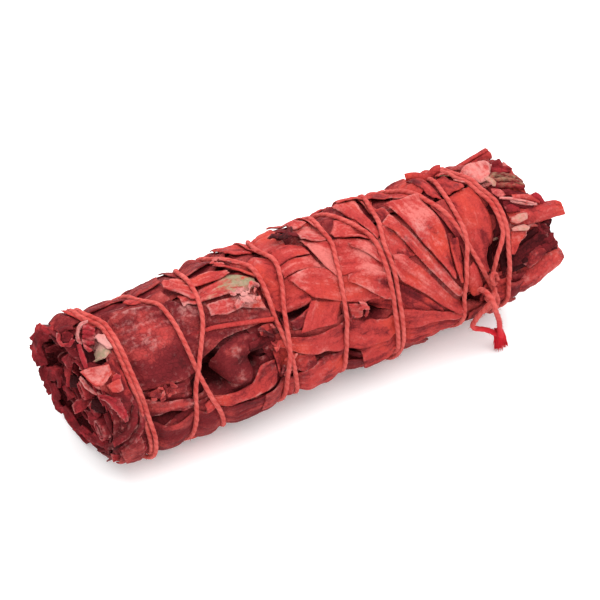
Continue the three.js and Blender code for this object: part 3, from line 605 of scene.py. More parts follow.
def leaf_outline(leaf, cell):
    """A leaf's grid: u and v from 0 to 1, its length, and for each point the spots on both edge lines, the
    width between them and how far its ragged long edges stand back."""
    seed = leaf["seed"]
    last = LINE_SPOTS - 1
    upper, upper_length = line_of(leaf["upper"], LINE_SPOTS, leaf["grow"])
    lower, lower_length = line_of(leaf["lower"], LINE_SPOTS, leaf["grow"])
    length = (upper_length + lower_length) / 2
    gap = np.hypot(upper[:, 0] - lower[:, 0], (upper[:, 1] - lower[:, 1]) * MM_PER_DEGREE)
    rows = max(6, math.ceil(length / cell) + 1)
    columns = max(6, math.ceil(gap.mean() * 1.1 / cell) + 1)
    u, v = square_grid(rows, columns)
    start = ragged(v * gap.mean(), leaf["tear"][0], seed + 11) / length
    stop = ragged(v * gap.mean(), leaf["tear"][1], seed + 12) / length
    where = np.clip(start + u * (1 - start - stop), 0, 1) * last
    stations = np.arange(LINE_SPOTS)
    top_line = np.stack([np.interp(where, stations, upper[:, k]) for k in (0, 1)], -1)
    low_line = np.stack([np.interp(where, stations, lower[:, k]) for k in (0, 1)], -1)
    width = np.maximum(np.interp(where, stations, gap), 0.3)
    back_top = np.minimum(ragged(u * length, leaf["jag"][0], seed + 13), 0.35 * width)
    back_low = np.minimum(ragged(u * length, leaf["jag"][1], seed + 14), 0.35 * width)
    return u, v, length, top_line, low_line, width, back_top, back_low


def curled_margins(leaf, u, v, length, width, back_top, back_low):
    """Each point's distance across the leaf, with the margins curled up, and how far that raises it."""
    across = back_top - leaf["grow"] + v * (width - back_top - back_low + 2 * leaf["grow"])
    rise = np.zeros_like(across)
    uneven = 0.55 + 0.45 * noise(u * length / 3.5, 4.5 + 0 * u, leaf["seed"] + 15, 2)
    if leaf["curl"][1]:
        strip = np.minimum(leaf["curl"][1] * uneven, 0.45 * width)
        across, up = curled(across, width - back_low, strip, leaf["curl_radius"])
        rise = rise + up
    if leaf["curl"][0]:
        strip = np.minimum(leaf["curl"][0] * uneven, 0.45 * width)
        mirrored, up = curled(width - across, width - back_top, strip, leaf["curl_radius"])
        across = width - mirrored
        rise = rise + up
    return across, rise


def leaf_relief(leaf, u, v, length, across, margins, crumple, crease):
    """How far edges, crumples, creases and the dome raise each point of a leaf."""
    rise = 0
    edge_noise = 0.6 + 0.4 * noise(u * length / 2.6, v * 2, leaf["seed"] + 16, 2)
    for distance, lift in zip(margins, leaf["lift"]):
        rise = rise + lift * edge_noise * np.exp(-(distance / 1.3) ** 2)
    inside = smooth_step(np.minimum(margins[0], margins[1]) / 0.8)
    rise = rise + leaf["crumple"] * (0.5 + 0.5 * crumple)
    rise = rise + leaf["crease"] * (0.5 + 0.5 * crease) * (0.3 + 0.7 * inside)
    return rise + leaf["dome"] * np.sin(math.pi * np.clip(v, 0, 1)) ** 1.5 * np.sin(math.pi * u) ** 0.7


def leaf_tint(leaf, x, angle, u, v, length, crumple, crease, rim, dip):
    """A leaf's dye, bloom and undyed share: its own values, the soft spots, a paler rim, painted light on
    raised crumples and creases with painted shade in their folds, and painted shade where the leaf dips into a
    hollow.
    """
    change = spots_at(x, angle)
    tint = tint_of(x.shape, 0, 0)
    broad = noise(u * length / 7, v * 2.3, leaf["seed"] + 19, 2)
    # Painted light and shade: raised crumples and creases are dyed lighter and their folds darker, and a leaf
    # is dyed darker by how deep it dips into a hollow.
    painted_ridge_shading = 0.12 * crumple + 0.17 * (crease - 0.5)
    tint[..., 0] = leaf["dye"] + change[..., 0] + 0.12 * rim + 0.10 * broad + painted_ridge_shading - 0.16 * dip
    tint[..., 1] = leaf["bloom"] + change[..., 1] + 0.45 * rim * leaf["pale_rim"]
    first, last = leaf["green_from"]
    turns_green = smooth_step((u - first) / (last - first) + 0.5 * crumple)
    tint[..., 2] = leaf["green"] * turns_green + change[..., 2] * 0.6
    return tint


def drape_leaf(bundle, shells, leaf, cell, thickness):
    """Lays one leaf over the bundle.

    The leaf is the grid between its upper and lower edge lines. Its radius is the blurred height of what lies
    beneath, plus crumples, raised margins, curls and folds, and never less than what lies beneath.
    """
    seed = leaf["seed"]
    u, v, length, top_line, low_line, width, back_top, back_low = leaf_outline(leaf, cell)
    across, rise = curled_margins(leaf, u, v, length, width, back_top, back_low)
    share = (across / width)[..., None]
    spot = top_line * (1 - share) + low_line * share
    x, angle = spot[..., 0], spot[..., 1]
    margins = (v * width, (1 - v) * width, u * length, (1 - u) * length)
    crumple = noise(u * length / 4.2, across / 1.9, seed + 17, 3)
    crease = 1 - 2 * np.abs(noise(u * length / 9.0, across / 1.9, seed + 18, 2))
    rise = rise + leaf_relief(leaf, u, v, length, across, margins, crumple, crease)
    for start, end, height, half in leaf["folds"]:
        rise = rise + height * np.exp(-(distance_to(x, angle, start, end) / half) ** 2)
    soft = gaussian_blur(spread(bundle.top, leaf["stiff"]), leaf["stiff"])
    beneath = look_up(bundle.top, x, angle) + LAYER_GAP
    radius = np.maximum(look_up(soft, x, angle) - leaf["sink"] + rise, beneath) + thickness / 2
    # How deep the leaf dips into a hollow; leaf_tint also dyes it darker by this depth, as painted shade.
    dip = hollow_depth(x, angle) if leaf["grow"] else 0 * x
    radius = np.minimum(radius, leaf["most"]) - dip
    bundle.raise_to(x, angle, radius + thickness / 2)
    middle = bundle.pressed(x, angle, radius)
    margin = np.minimum.reduce(margins)
    rim = np.exp(-(margin / 0.35) ** 2) * (0.45 + 0.55 * noise(u * length / 2.2, v * 3, seed + 20, 2))
    tint = leaf_tint(leaf, x, angle, u, v, length, crumple, crease, rim, dip)
    thin = thickness * (1 - 0.45 * rim)
    uv = np.stack([u * length, (v - 0.5) * width], -1)
    faces = np.cross(np.gradient(middle, axis=0), np.gradient(middle, axis=1))
    if np.sum(faces * from_axis(middle)) < 0:
        middle, thin, uv, tint = middle[:, ::-1], thin[:, ::-1], uv[:, ::-1], tint[:, ::-1]
    shells.add_sheet(middle, thin, uv, tint)


def distance_to(x, angle, start, end):
    """Distance in mm from each spot to the straight stretch between two (x, angle) spots."""
    ax, ay = start[0], start[1] * MM_PER_DEGREE
    bx, by = end[0], end[1] * MM_PER_DEGREE
    px, py = x - ax, angle * MM_PER_DEGREE - ay
    dx, dy = bx - ax, by - ay
    t = np.clip((px * dx + py * dy) / (dx * dx + dy * dy), 0, 1)
    return np.hypot(px - t * dx, py - t * dy)


LEAF_DEFAULTS = {
    "dye": 0.6, "bloom": 0.4, "green": 0.0, "jag": (0.16, 0.16), "tear": (0.3, 0.3), "curl": (0, 0),
    "curl_radius": 0.55, "lift": (0.25, 0.25, 0.2, 0.2), "crumple": 0.32, "crease": 0.3, "dome": 0.0,
    "folds": (), "stiff": 0.7, "sink": 0.45, "most": 16.6, "grow": 0.0, "pale_rim": 1.0,
    "green_from": (0, 0.01),
}


def leaf(name, slot, upper, lower, **shape):
    """One leaf: its two long edges as (x, angle) spots, and how it differs from LEAF_DEFAULTS."""
    seed = sum(ord(letter) * (k + 1) for k, letter in enumerate(name)) % 9973
    given = {"seed": seed, "name": name, "slot": slot, "upper": upper, "lower": lower}
    return {**LEAF_DEFAULTS, **given, **shape}


# The leaves on the visible side, from the first laid to the last. Those whose name is that of a node of the
# frame stand for it; the others are smaller leaves between them.
FRONT_LEAVES = [
    leaf("top_left_leaf", "leaf_dark", [(-48, -40), (-42, -47), (-35, -48), (-26, -42)],
         [(-46, -20), (-41, -22), (-37, -26), (-33, -22), (-27, -21)], dye=0.42, bloom=0.35, jag=(0.3, 0.5),
         lift=(0.3, 0.6, 0.5, 0.2)),
    leaf("shoulder_leaf", "leaf_dark",
         [(-45, -13), (-41, -15), (-38, -14.5), (-36.5, -12), (-34, -16), (-31, -17), (-28, -15)],
         [(-45, -3), (-40, -5), (-36, -3), (-33, -1.5), (-29, 1), (-27.5, 0)], dye=0.45, bloom=0.5,
         jag=(0.4, 0.2)),
    leaf("red_fold", "leaf_red", [(-35.9, -13), (-34.8, -18), (-33.6, -19)],
         [(-35.4, -9.5), (-34, -7), (-32.6, -8)], dye=0.62, bloom=0.2, curl=(0.8, 0),
         lift=(0.5, 0.2, 0.3, 0.1)),
    leaf("front_dark_leaf", "leaf_dark",
         [(-43.6, 4), (-42.5, -4), (-40, -6), (-36, -4.5), (-33, -3), (-30, -1.5), (-28, 0), (-26.6, 4),
          (-24.6, 9.5), (-22.5, 14.5), (-19.5, 18), (-16, 24), (-13, 29), (-11.0, 33)],
         [(-43.8, 30), (-43.4, 52), (-42, 58), (-39, 57.5), (-36, 57), (-32, 60), (-29, 60), (-27, 55),
          (-25, 48), (-22.5, 42.5), (-19, 41), (-15, 41.5), (-11.0, 41)], dye=0.46, bloom=0.58,
         jag=(0.15, 0.3),
         folds=(((-42, 19), (-30, 22.5), -0.35, 0.5), ((-30, 22.5), (-20, 33), -0.35, 0.5)), crumple=0.45,
         crease=0.25, lift=(0.3, 0.4, 0.2, 0.1)),
    leaf("crumb_bit_left", "leaf_dark", [(-39, 58.5), (-37.4, 57), (-36.4, 56)],
         [(-38.6, 61), (-37, 64.5), (-36.2, 64)], dye=0.55, bloom=0.5, lift=(0.3, 0.3, 0.3, 0.5)),
    leaf("crumb_bit_right", "leaf_dark", [(-35.9, 58), (-34, 59), (-31, 61)],
         [(-35.6, 65), (-33.6, 67), (-31, 70)], dye=0.5, bloom=0.5, lift=(0.2, 0.2, 0.7, 0.2)),
    leaf("lower_left_leaf", "leaf_dark",
         [(-45.6, 95), (-42, 90), (-38.5, 87.5), (-36.3, 91), (-34, 92), (-32, 89), (-30, 88.5), (-27, 93),
          (-22, 95), (-15, 95)], [(-46.5, 118), (-40, 124), (-30, 126), (-20, 122), (-14, 116)], dye=0.42,
         bloom=0.35, jag=(0.3, 0.3), lift=(0.45, 0.2, 0.4, 0.2), crease=0.5),
    leaf("lower_dark_leaf", "leaf_dark",
         [(-44.5, 60), (-42, 60), (-39.5, 62), (-36.5, 67), (-33.5, 71.5), (-31, 75.5), (-30.1, 79)],
         [(-45.5, 84), (-42, 83), (-38, 82), (-35, 83), (-32.5, 84.5), (-31.2, 84), (-30.1, 81)], dye=0.48,
         bloom=0.58, jag=(0.08, 0.2), lift=(0.55, 0.5, 0.3, 0.4), crumple=0.35),
    leaf("hollow_leaf", "leaf_dark",
         [(-25.0, 60), (-24.8, 53), (-23, 46), (-20, 42), (-17.5, 42.5), (-15.5, 46)],
         [(-24.8, 64), (-23.8, 71), (-22, 78.5), (-20, 82), (-18.3, 79), (-17.8, 72), (-17.6, 62),
          (-15.4, 52)], dye=0.30, bloom=0.45, dome=1.0, crumple=0.9, crease=0.5, jag=(0.3, 0.4), sink=0.6),
    leaf("dark_corner_leaf", "leaf_dark", [(-17.8, 50), (-15, 49), (-11.5, 50)],
         [(-17.8, 57), (-15, 58.5), (-12, 57)], dye=0.22, bloom=0.2, sink=1.2),
    leaf("small_pink_corner", "leaf_red", [(-15.3, 43.5), (-13.8, 42), (-12, 42)],
         [(-15.3, 48), (-14, 51), (-12, 50.5)], dye=0.5, bloom=0.5, lift=(0.2, 0.4, 0.6, 0.1)),
    leaf("left_band_leaf", "leaf_red",
         [(-28.5, 84), (-25, 83), (-21, 83.5), (-18.4, 82), (-17.2, 76), (-16, 71), (-14, 69.5),
          (-13.2, 70)], [(-28.5, 91), (-24, 92.5), (-19, 92.5), (-15.5, 92.5), (-13.4, 90), (-13.0, 80)],
         dye=0.58, bloom=0.5, lift=(0.4, 0.5, 0.2, 0.3), jag=(0.15, 0.25)),
    leaf("crumbly_leaf", "leaf_pale", [(-22.5, 15), (-19, 15.5), (-16, 16), (-13.5, 18), (-11.8, 22)],
         [(-22.5, 24), (-19.5, 27.5), (-16, 26), (-13.5, 30), (-11.8, 33)], dye=0.66, bloom=0.75,
         jag=(0.4, 0.3), crumple=0.6, lift=(0.4, 0.5, 0.2, 0.2)),
    leaf("green_leaf", "leaf_green",
         [(-26.5, 1), (-22, -1), (-18, -2.5), (-15.5, -2), (-13.6, 2), (-11.2, 8)],
         [(-26.5, 12), (-22, 14), (-18.5, 15.5), (-15.5, 17), (-13, 17), (-11.4, 14)], dye=0.66, bloom=0.6,
         green=0.8, green_from=(0.05, 1.0), jag=(0.1, 0.9), lift=(0.3, 0.45, 0.1, 0.2), crumple=0.4,
         crease=0.6),
    leaf("back_top_leaf", "leaf_dark", [(-25, -54), (-16, -55), (-9, -52)],
         [(-22.5, -23), (-19, -21.5), (-16, -21.5), (-13.5, -24)], dye=0.5, bloom=0.45,
         lift=(0.2, 0.7, 0.2, 0.2), jag=(0.2, 0.4)),
    leaf("knob_leaf", "leaf_red", [(-26, -19), (-25.2, -24), (-23.6, -24.5), (-22.4, -20)],
         [(-26, -16), (-24.9, -12), (-23.8, -8.5), (-22.4, -11)], dye=0.78, bloom=0.4, dome=0.5,
         lift=(0.3, 0.6, 0.4, 0.1)),
    leaf("pale_flap", "leaf_pale", [(-27.4, -17.5), (-26.5, -18.5), (-25.4, -13), (-24, -8.5), (-22.8, -6)],
         [(-27.7, -9), (-27, -3), (-25.7, 2.5), (-24.3, 7.8), (-23.0, 9)], dye=0.70, bloom=0.6,
         curl=(0.7, 0), lift=(0.5, 1.1, 0.6, 0.2)),
    leaf("flap_leaf", "leaf_pale", [(-22.8, -13.5), (-20, -14.5), (-18, -11.5), (-16.6, -7), (-15.4, -2.5)],
         [(-22.8, -3), (-20, -2), (-17.5, 0), (-15.2, 0)], dye=0.74, bloom=0.45, lift=(0.5, 0.5, 0.2, 0.4),
         dome=0.3),
    leaf("top_middle_leaf", "leaf_red",
         [(-17, -13), (-16.2, -18), (-14.5, -20), (-12.3, -18), (-10.8, -12), (-8.8, -9)],
         [(-16.8, -9), (-15.2, -5), (-13.2, 1), (-11.6, 7), (-9.8, 12)], dye=0.68, bloom=0.5,
         lift=(0.3, 0.9, 0.5, 0.1), stiff=1.0),
    leaf("crest_leaf", "leaf_red", [(-14, -50), (-9, -50), (-4, -52)],
         [(-13, -27), (-11, -25), (-9.6, -22), (-8, -22)], dye=0.6, bloom=0.3, lift=(0.2, 0.5, 0.3, 0.1)),
    leaf("middle_left_leaf", "leaf_red", [(-11, -8), (-9.5, -11), (-8, -10), (-5, -9), (-1.6, -8.5)],
         [(-11, 28), (-9.8, 37), (-8.4, 41), (-5.5, 41.5), (-2.9, 40)], dye=0.64, bloom=0.35,
         lift=(0.3, 0.7, 0.1, 0.1), crease=0.35),
    leaf("broad_top_leaf", "leaf_red", [(-9, -66), (-5, -68), (0, -66)],
         [(-8, -20), (-6.5, -10), (-4, -7), (-2.4, -9), (-2.0, -20)], dye=0.80, bloom=0.3, crumple=0.15,
         crease=0.2, lift=(0.1, 0.7, 0.4, 0.6), stiff=1.2),
    leaf("collar_leaf_lower", "leaf_red", [(-6, 5), (-3, 4.5), (1.0, 5.5)],
         [(-6, 16), (-3, 15.5), (0, 17), (1.6, 19)], dye=0.68, bloom=0.35, lift=(0.1, 0.4, 0.1, 0.1)),
    leaf("collar_leaf_upper", "leaf_red", [(-6, -8), (-3, -8.5), (-1, -8), (0.4, -6)],
         [(-6, 6), (-3.5, 5), (-1.5, 4.5), (0.9, 6)], dye=0.62, bloom=0.35, lift=(0.3, 0.4, 0.1, 0.1)),
    leaf("small_layer_left", "leaf_red", [(-8.3, 48), (-6, 46), (-3.6, 42)],
         [(-8.3, 55), (-6, 55), (-3, 50)], dye=0.55, bloom=0.5, lift=(0.5, 0.2, 0.2, 0.2)),
    leaf("middle_low_leaf", "leaf_red", [(-3.2, 38), (-5, 46), (-7.5, 57.5)],
         [(2.6, 47), (1.5, 55), (0.2, 61.5)], dye=0.66, bloom=0.35, lift=(0.4, 0.5, 0.1, 0.5),
         jag=(0.2, 0.15), crumple=0.2),
    leaf("middle_leaf", "leaf_red",
         [(-5.9, 17.5), (-3, 15.8), (0, 16.5), (1.6, 19), (3.2, 24.5), (4.4, 29), (8, 33), (11, 37),
          (13.5, 40)],
         [(-5.6, 19.5), (-4.6, 25), (-3.6, 32), (-2.7, 37.5), (-0.5, 41.5), (2, 46.5), (4, 50), (7, 55),
          (9, 55.5), (11.3, 58), (13, 60)], dye=0.70, bloom=0.4, lift=(0.2, 0.7, 0.6, 0.1), crumple=0.2,
         crease=0.2, stiff=1.1),
    leaf("recess_leaf", "leaf_red", [(14.2, 46), (16, 54), (18, 62), (20.5, 72), (22.5, 82)],
         [(14.2, 78), (17, 82), (20, 85), (23, 90)], dye=0.5, bloom=0.3, sink=0.7),
    leaf("hole_leaf", "leaf_red", [(8.4, 55), (10, 56), (12.8, 58)], [(8.7, 63), (10, 67), (12.8, 71)],
         dye=0.5, bloom=0.1, sink=1.4, lift=(0, 0.3, 0.2, 0)),
    leaf("lower_middle_leaf", "leaf_red", [(-9.8, 92), (-7, 89.5), (-4.5, 87.5), (-1, 88), (2.4, 89.5)],
         [(-9.8, 112), (-6, 118), (-2, 119), (2.0, 114)], dye=0.6, bloom=0.5, crease=0.5,
         lift=(0.3, 0.2, 0.2, 0.6)),
    leaf("lower_gap_leaf", "leaf_dark", [(-16.5, 93), (-13, 91.5), (-9.5, 91)],
         [(-17, 112), (-13, 116), (-9.5, 114)], dye=0.5, bloom=0.5, crease=0.5),
    leaf("lower_right_leaf", "leaf_red",
         [(4.5, 92), (8, 91.5), (12, 91), (15, 91), (19, 92), (23, 95), (27, 99)],
         [(5.6, 116), (9, 115), (13, 111), (16, 110), (20, 111), (24, 110), (27.5, 109)], dye=0.55,
         bloom=0.35, crease=0.5, lift=(0.2, 0.4, 0.8, 0.2)),
    leaf("under_strip", "leaf_red", [(-9.9, 69.5), (-8.5, 73), (-6.5, 77.5), (-4.8, 79.5)],
         [(-9.8, 85), (-8, 89), (-6, 88), (-4.7, 86.5)], dye=0.56, bloom=0.5, lift=(0.1, 0.4, 0.2, 0.5)),
    leaf("left_gap_leaf", "leaf_red", [(-13.6, 62), (-12, 63), (-10, 66)],
         [(-13, 80), (-12, 88), (-9.7, 88)], dye=0.5, bloom=0.35, lift=(0.1, 0.1, 0.5, 0.1)),
    leaf("long_leaf", "leaf_red",
         [(-13.6, 57.5), (-11, 57.5), (-8, 58.8), (-6, 62), (-3, 64), (-1, 62.5), (2, 63), (4, 63.5),
          (5.4, 66), (6.3, 71), (7, 68.5), (8.2, 71), (10, 74), (12.2, 74.5), (14, 72), (16, 71.5),
          (18, 76), (20, 79), (22, 83), (24, 87), (26, 92), (27.5, 96)],
         [(-13.4, 60), (-11, 64), (-9.5, 69), (-7, 75), (-5, 78.5), (-1, 84), (1.5, 88.5), (4, 90), (8, 91),
          (12.5, 91), (14.5, 89.8), (17, 90), (20, 90), (22, 91.5), (24, 94), (26, 98), (27.5, 101)],
         dye=0.66, bloom=0.4, jag=(0.25, 0.06), lift=(0.35, 0.55, 0.7, 0.1), crumple=0.25, crease=0.25,
         stiff=1.0),
    leaf("cracked_bit_low", "leaf_pale", [(3.6, 50.5), (5, 52), (6.5, 56)],
         [(3.8, 62.5), (4.8, 64), (6.0, 64)], dye=0.72, bloom=0.6, lift=(0.2, 0.5, 0.1, 0.6)),
    leaf("middle_right_leaf", "leaf_red",
         [(0.5, -8), (2, -14), (4, -10), (6.5, -2), (8.5, 3), (10.5, 7), (12.5, 11), (15.2, 13)],
         [(1.3, 13), (2.4, 21), (3.8, 29), (6, 31.5), (9, 33.5), (11, 37), (13, 40.5), (15.4, 42)],
         dye=0.82, bloom=0.15, lift=(0.3, 0.5, 0.9, 0.1), crumple=0.2, crease=0.25, stiff=1.0),
    leaf("pink_grey_leaf", "leaf_pale", [(5.5, 31), (9, 31.5), (11, 35.5), (13.5, 40)],
         [(5.0, 35.5), (7, 42), (9, 50), (11, 57.5), (13, 61)], dye=0.72, bloom=0.55,
         lift=(0.3, 0.5, 0.2, 0.1), crumple=0.2),
    leaf("pale_fold", "leaf_pale", [(8.2, 9), (9.5, 9), (11.5, 13), (13.6, 19)],
         [(8.5, 12.5), (9.6, 17), (10.6, 22), (11.8, 28), (13.4, 35)], dye=0.78, bloom=0.5,
         lift=(0.2, 0.6, 0.3, 0.1), crumple=0.2),
    leaf("pink_shoulder", "leaf_red", [(0.9, -34), (3, -36), (6, -30)],
         [(0.5, -7), (2.5, -3), (4.5, -2), (6, -4)], dye=0.76, bloom=0.5, lift=(0.1, 0.3, 0.9, 0.1),
         crumple=0.2, crease=0.2),
    leaf("smooth_shoulder", "leaf_red", [(6.6, -6), (8.1, -12), (9.3, -20), (11, -19), (13, -10)],
         [(6.8, 0), (8.5, 4.5), (10.5, 8.5), (13.2, 13)], dye=0.76, bloom=0.3, lift=(0.2, 0.7, 0.3, 0.1),
         crumple=0.15),
    leaf("rolled_strip_one", "leaf_red", [(-1.0, -60), (0.2, -45), (0.8, -32), (0.6, -20)],
         [(1.4, -60), (2.6, -45), (3.4, -32), (4.2, -22)], dye=0.74, bloom=0.5, curl=(1.0, 0.6),
         curl_radius=0.6, lift=(0.3, 0.3, 0.1, 0.5)),
    leaf("rolled_strip_two", "leaf_red", [(2.6, -60), (3.6, -45), (4.4, -32), (4.8, -18)],
         [(5.4, -60), (6.2, -45), (6.8, -32), (6.4, -16)], dye=0.68, bloom=0.5, curl=(0.9, 0.4),
         curl_radius=0.6, lift=(0.3, 0.3, 0.1, 0.4)),
    leaf("slit_leaf_left", "leaf_red", [(10.8, -34), (12.0, -16), (13.2, 0), (14.0, 15)],
         [(15.8, -34), (15.4, -18), (15.0, -5), (15.6, 10)], dye=0.70, bloom=0.4,
         lift=(0.3, 0.6, 0.1, 0.1)),
    leaf("slit_leaf_right", "leaf_red", [(16.4, -40), (16.6, -22), (16.4, -8), (16.0, 8)],
         [(20.5, -42), (18.2, -24), (18.8, -8), (19.0, 4)], dye=0.6, bloom=0.4, lift=(0.6, 0.3, 0.1, 0.1)),
    leaf("top_right_leaf", "leaf_red", [(12, -58), (20, -62), (29, -58)],
         [(12, -30), (16, -30), (19, -25), (21.8, -22), (23, -17), (24.4, -14), (26.4, -11), (28.6, -12)],
         dye=0.66, bloom=0.5, lift=(0.2, 0.8, 0.2, 0.2), jag=(0.2, 0.3), crease=0.4),
    leaf("fold_base_leaf", "leaf_pale", [(15.0, 8), (15.1, 22), (15.0, 36)],
         [(17, 6), (18.6, 20), (20, 36)], dye=0.7, bloom=0.65, lift=(0.2, 0.2, 0.1, 0.1)),
    leaf("folded_leaf_low", "leaf_red",
         [(14.6, 41), (15.3, 50), (17, 57), (19, 64), (21, 73), (23, 82), (25, 89), (27, 95)],
         [(15.2, 29), (17.5, 32), (19.5, 42), (21.4, 54), (23, 65), (24.8, 76), (27.2, 87)], dye=0.80,
         bloom=0.25, folds=(((16.5, 38), (21, 62), 0.5, 0.7), ((21, 62), (25.5, 84), 0.5, 0.7)),
         lift=(0.6, 0.1, 0.1, 0.1), crumple=0.25),
    leaf("folded_leaf_high", "leaf_pale",
         [(15.9, 5), (17, 13), (18.3, 23), (19.6, 35), (21, 47), (22.5, 58), (24, 67), (25.6, 75),
          (27.2, 81)],
         [(18.4, 1), (20, 13), (21.4, 25), (22.5, 36), (23.6, 47), (24.7, 57), (25.5, 64), (26.6, 70),
          (27.6, 74)], dye=0.72, bloom=0.65,
         folds=(((17.4, 8), (21.5, 42), 0.45, 0.6), ((21.5, 42), (26, 74), 0.45, 0.6)),
         lift=(0.5, 0.6, 0.1, 0.1), crumple=0.25),
    leaf("lobed_leaf", "leaf_pale",
         [(18.6, -8), (19.4, -2), (20, 8), (20.8, 18), (21.8, 29), (22.8, 39), (24, 49), (25.0, 59)],
         [(26.4, -10), (26.9, 0), (27.2, 12), (27.3, 24), (27.1, 34), (26.5, 44), (25.9, 54), (25.5, 61)],
         dye=0.72, bloom=0.5, lift=(0.8, 0.3, 0.9, 0.3), tear=(0.1, 0.1), jag=(0.15, 0.1), crumple=0.3,
         folds=(((19.5, -8.5), (26, -9.5), 0.35, 0.5),)),
    leaf("narrow_fold_up", "leaf_red", [(27.2, -34), (27.6, -20), (28.0, -8), (28.6, -2)],
         [(30.6, -36), (30.4, -20), (30.2, -6), (30.0, 4)], dye=0.62, bloom=0.35,
         lift=(0.2, 0.4, 0.1, 0.5)),
    leaf("folded_leaf_right", "leaf_dark",
         [(27.0, 4), (27.6, 16), (28.4, 28), (29.0, 38), (29.0, 50), (28.6, 60)],
         [(30.6, 2), (30.6, 16), (30.5, 30), (30.4, 42), (30.2, 52), (30.2, 60)], dye=0.55, bloom=0.25,
         folds=(((28.4, 6), (29.4, 34), 0.6, 0.5),), lift=(0.5, 0.2, 0.2, 0.1)),
    leaf("narrow_fold_low", "leaf_red", [(27.2, 33), (26.5, 44), (26.0, 54), (26.6, 66)],
         [(28.9, 34), (28.6, 46), (28.0, 58), (27.8, 68)], dye=0.55, bloom=0.3, lift=(0.3, 0.3, 0.1, 0.1)),
    leaf("round_low_leaf", "leaf_red", [(28.5, 58), (28.3, 70), (28.8, 80), (29.8, 86)],
         [(30.6, 55), (31.4, 65), (31.6, 76), (31.4, 84)], dye=0.64, bloom=0.3, dome=0.5,
         lift=(0.1, 0.1, 0.1, 0.6)),
    leaf("low_right_leaf", "leaf_dark", [(28, 96), (30, 97), (33, 98), (37, 97)],
         [(28, 112), (31, 116), (34, 116), (37, 110)], dye=0.45, bloom=0.3, lift=(0.4, 0.2, 0.1, 0.1)),
    leaf("low_string_leaf", "leaf_red", [(30.5, 76), (33, 78), (36, 80), (38.4, 80)],
         [(31, 92), (33, 97), (36, 99), (38.4, 97)], dye=0.52, bloom=0.3, lift=(0.4, 0.2, 0.4, 0.1)),
    leaf("wide_leaf", "leaf_red", [(31.2, 2), (31, 18), (30.6, 32), (30.5, 45), (31.2, 58), (32.4, 69)],
         [(37.0, -4), (37.5, 8), (37.6, 22), (37.1, 34), (36, 43), (34.7, 50), (33.9, 58), (33.7, 69)],
         dye=0.66, bloom=0.35, lift=(0.1, 0.7, 0.3, 0.2), crumple=0.2, crease=0.25,
         folds=(((34.9, 8), (33.9, 25), 0.3, 0.5), ((33.9, 25), (32.4, 42), 0.3, 0.5)), jag=(0.1, 0.15)),
    leaf("rounded_leaf", "leaf_red", [(31.2, -26), (31.2, -10), (31.4, 2.6)],
         [(34.7, -22), (34.8, -15), (36.1, -8), (35.2, 1.0)], dye=0.6, bloom=0.3, lift=(0.1, 0.7, 0.1, 0.6),
         jag=(0.1, 0.25), dome=0.2),
    leaf("pale_bar", "leaf_pale", [(34.7, -13.5), (36, -10.5), (37.6, -8)],
         [(35.0, -11.5), (36.2, -6.5), (37.6, -4)], dye=0.8, bloom=0.8, lift=(0.1, 0.2, 0.3, 0.1)),
    leaf("top_cut_leaf", "leaf_green", [(33.2, -64), (34.0, -48), (34.8, -34), (35.2, -25)],
         [(37.2, -64), (37.2, -48), (37.0, -34), (36.6, -26)], dye=0.6, bloom=0.4, green=0.55,
         curl=(0.7, 0.5), lift=(0.3, 0.3, 0.1, 0.3)),
    leaf("top_strip_leaf", "leaf_red", [(31.8, -66), (32.2, -48), (32.6, -34), (32.8, -22)],
         [(34.0, -66), (34.4, -48), (34.9, -34), (35.0, -22)], dye=0.62, bloom=0.4,
         lift=(0.3, 0.3, 0.1, 0.1)),
    leaf("low_end_leaf", "leaf_dark", [(37.2, 84), (40, 86), (43, 88), (45.5, 90)],
         [(37.2, 104), (39.5, 103), (42, 97), (44.6, 95)], dye=0.42, bloom=0.25, jag=(0.2, 0.4),
         lift=(0.2, 0.2, 0.1, 0.3)),
    # A near-black leaf sunk deep under the fan of torn bits: its dark dye is painted shade.
    leaf("under_fan_leaf", "leaf_dark", [(38, 60), (42, 57), (47, 52)], [(38, 74), (43, 72), (48, 70)],
         dye=0.12, bloom=0.0, sink=3.0, tear=(0.1, 0.8)),
    leaf("top_end_leaf", "leaf_dark", [(37.5, -58), (38, -44), (38.4, -33), (38.6, -24)],
         [(46.2, -56), (46.4, -44), (45.6, -32), (44.2, -22)], dye=0.56, bloom=0.4, jag=(0.1, 0.4),
         lift=(0.2, 0.4, 0.2, 0.3)),
    leaf("pale_end_leaf", "leaf_pale", [(37.6, -25), (37.9, -16), (38.5, -8), (39.6, -1.5)],
         [(43.4, -26), (44.2, -20), (42.9, -11), (41.4, -4), (40.4, -0.5)], dye=0.92, bloom=0.9,
         lift=(0.2, 0.6, 0.5, 0.3), crumple=0.25, jag=(0.1, 0.2)),
    leaf("left_rim_leaf", "leaf_dark", [(-49.6, -30), (-48, -34), (-44, -36)],
         [(-49.2, -10), (-47, -12), (-43.6, -16)], dye=0.42, bloom=0.3, lift=(0.4, 0.5, 0.8, 0.1),
         tear=(0.7, 0.1), crumple=0.5),
    leaf("left_red_curve", "leaf_red", [(-46.6, -30), (-45.4, -21), (-44.4, -12), (-43.6, -3)],
         [(-44.6, -31), (-43.4, -20), (-42.5, -11), (-41.9, -4)], dye=0.6, bloom=0.3, curl=(0.7, 0.3),
         lift=(0.4, 0.3, 0.2, 0.2)),
    leaf("left_side_leaf", "leaf_red", [(-46.4, 27), (-45.6, 38), (-45.4, 50), (-45.0, 62)],
         [(-42.2, 26), (-41.6, 38), (-41.6, 50), (-41.6, 62)], dye=0.45, bloom=0.4,
         lift=(0.3, 0.1, 0.1, 0.1), jag=(0.4, 0.1)),
    leaf("undyed_flake_low", "leaf_green", [(-46.4, 19.5), (-44.8, 15.5), (-43.3, 12.5)],
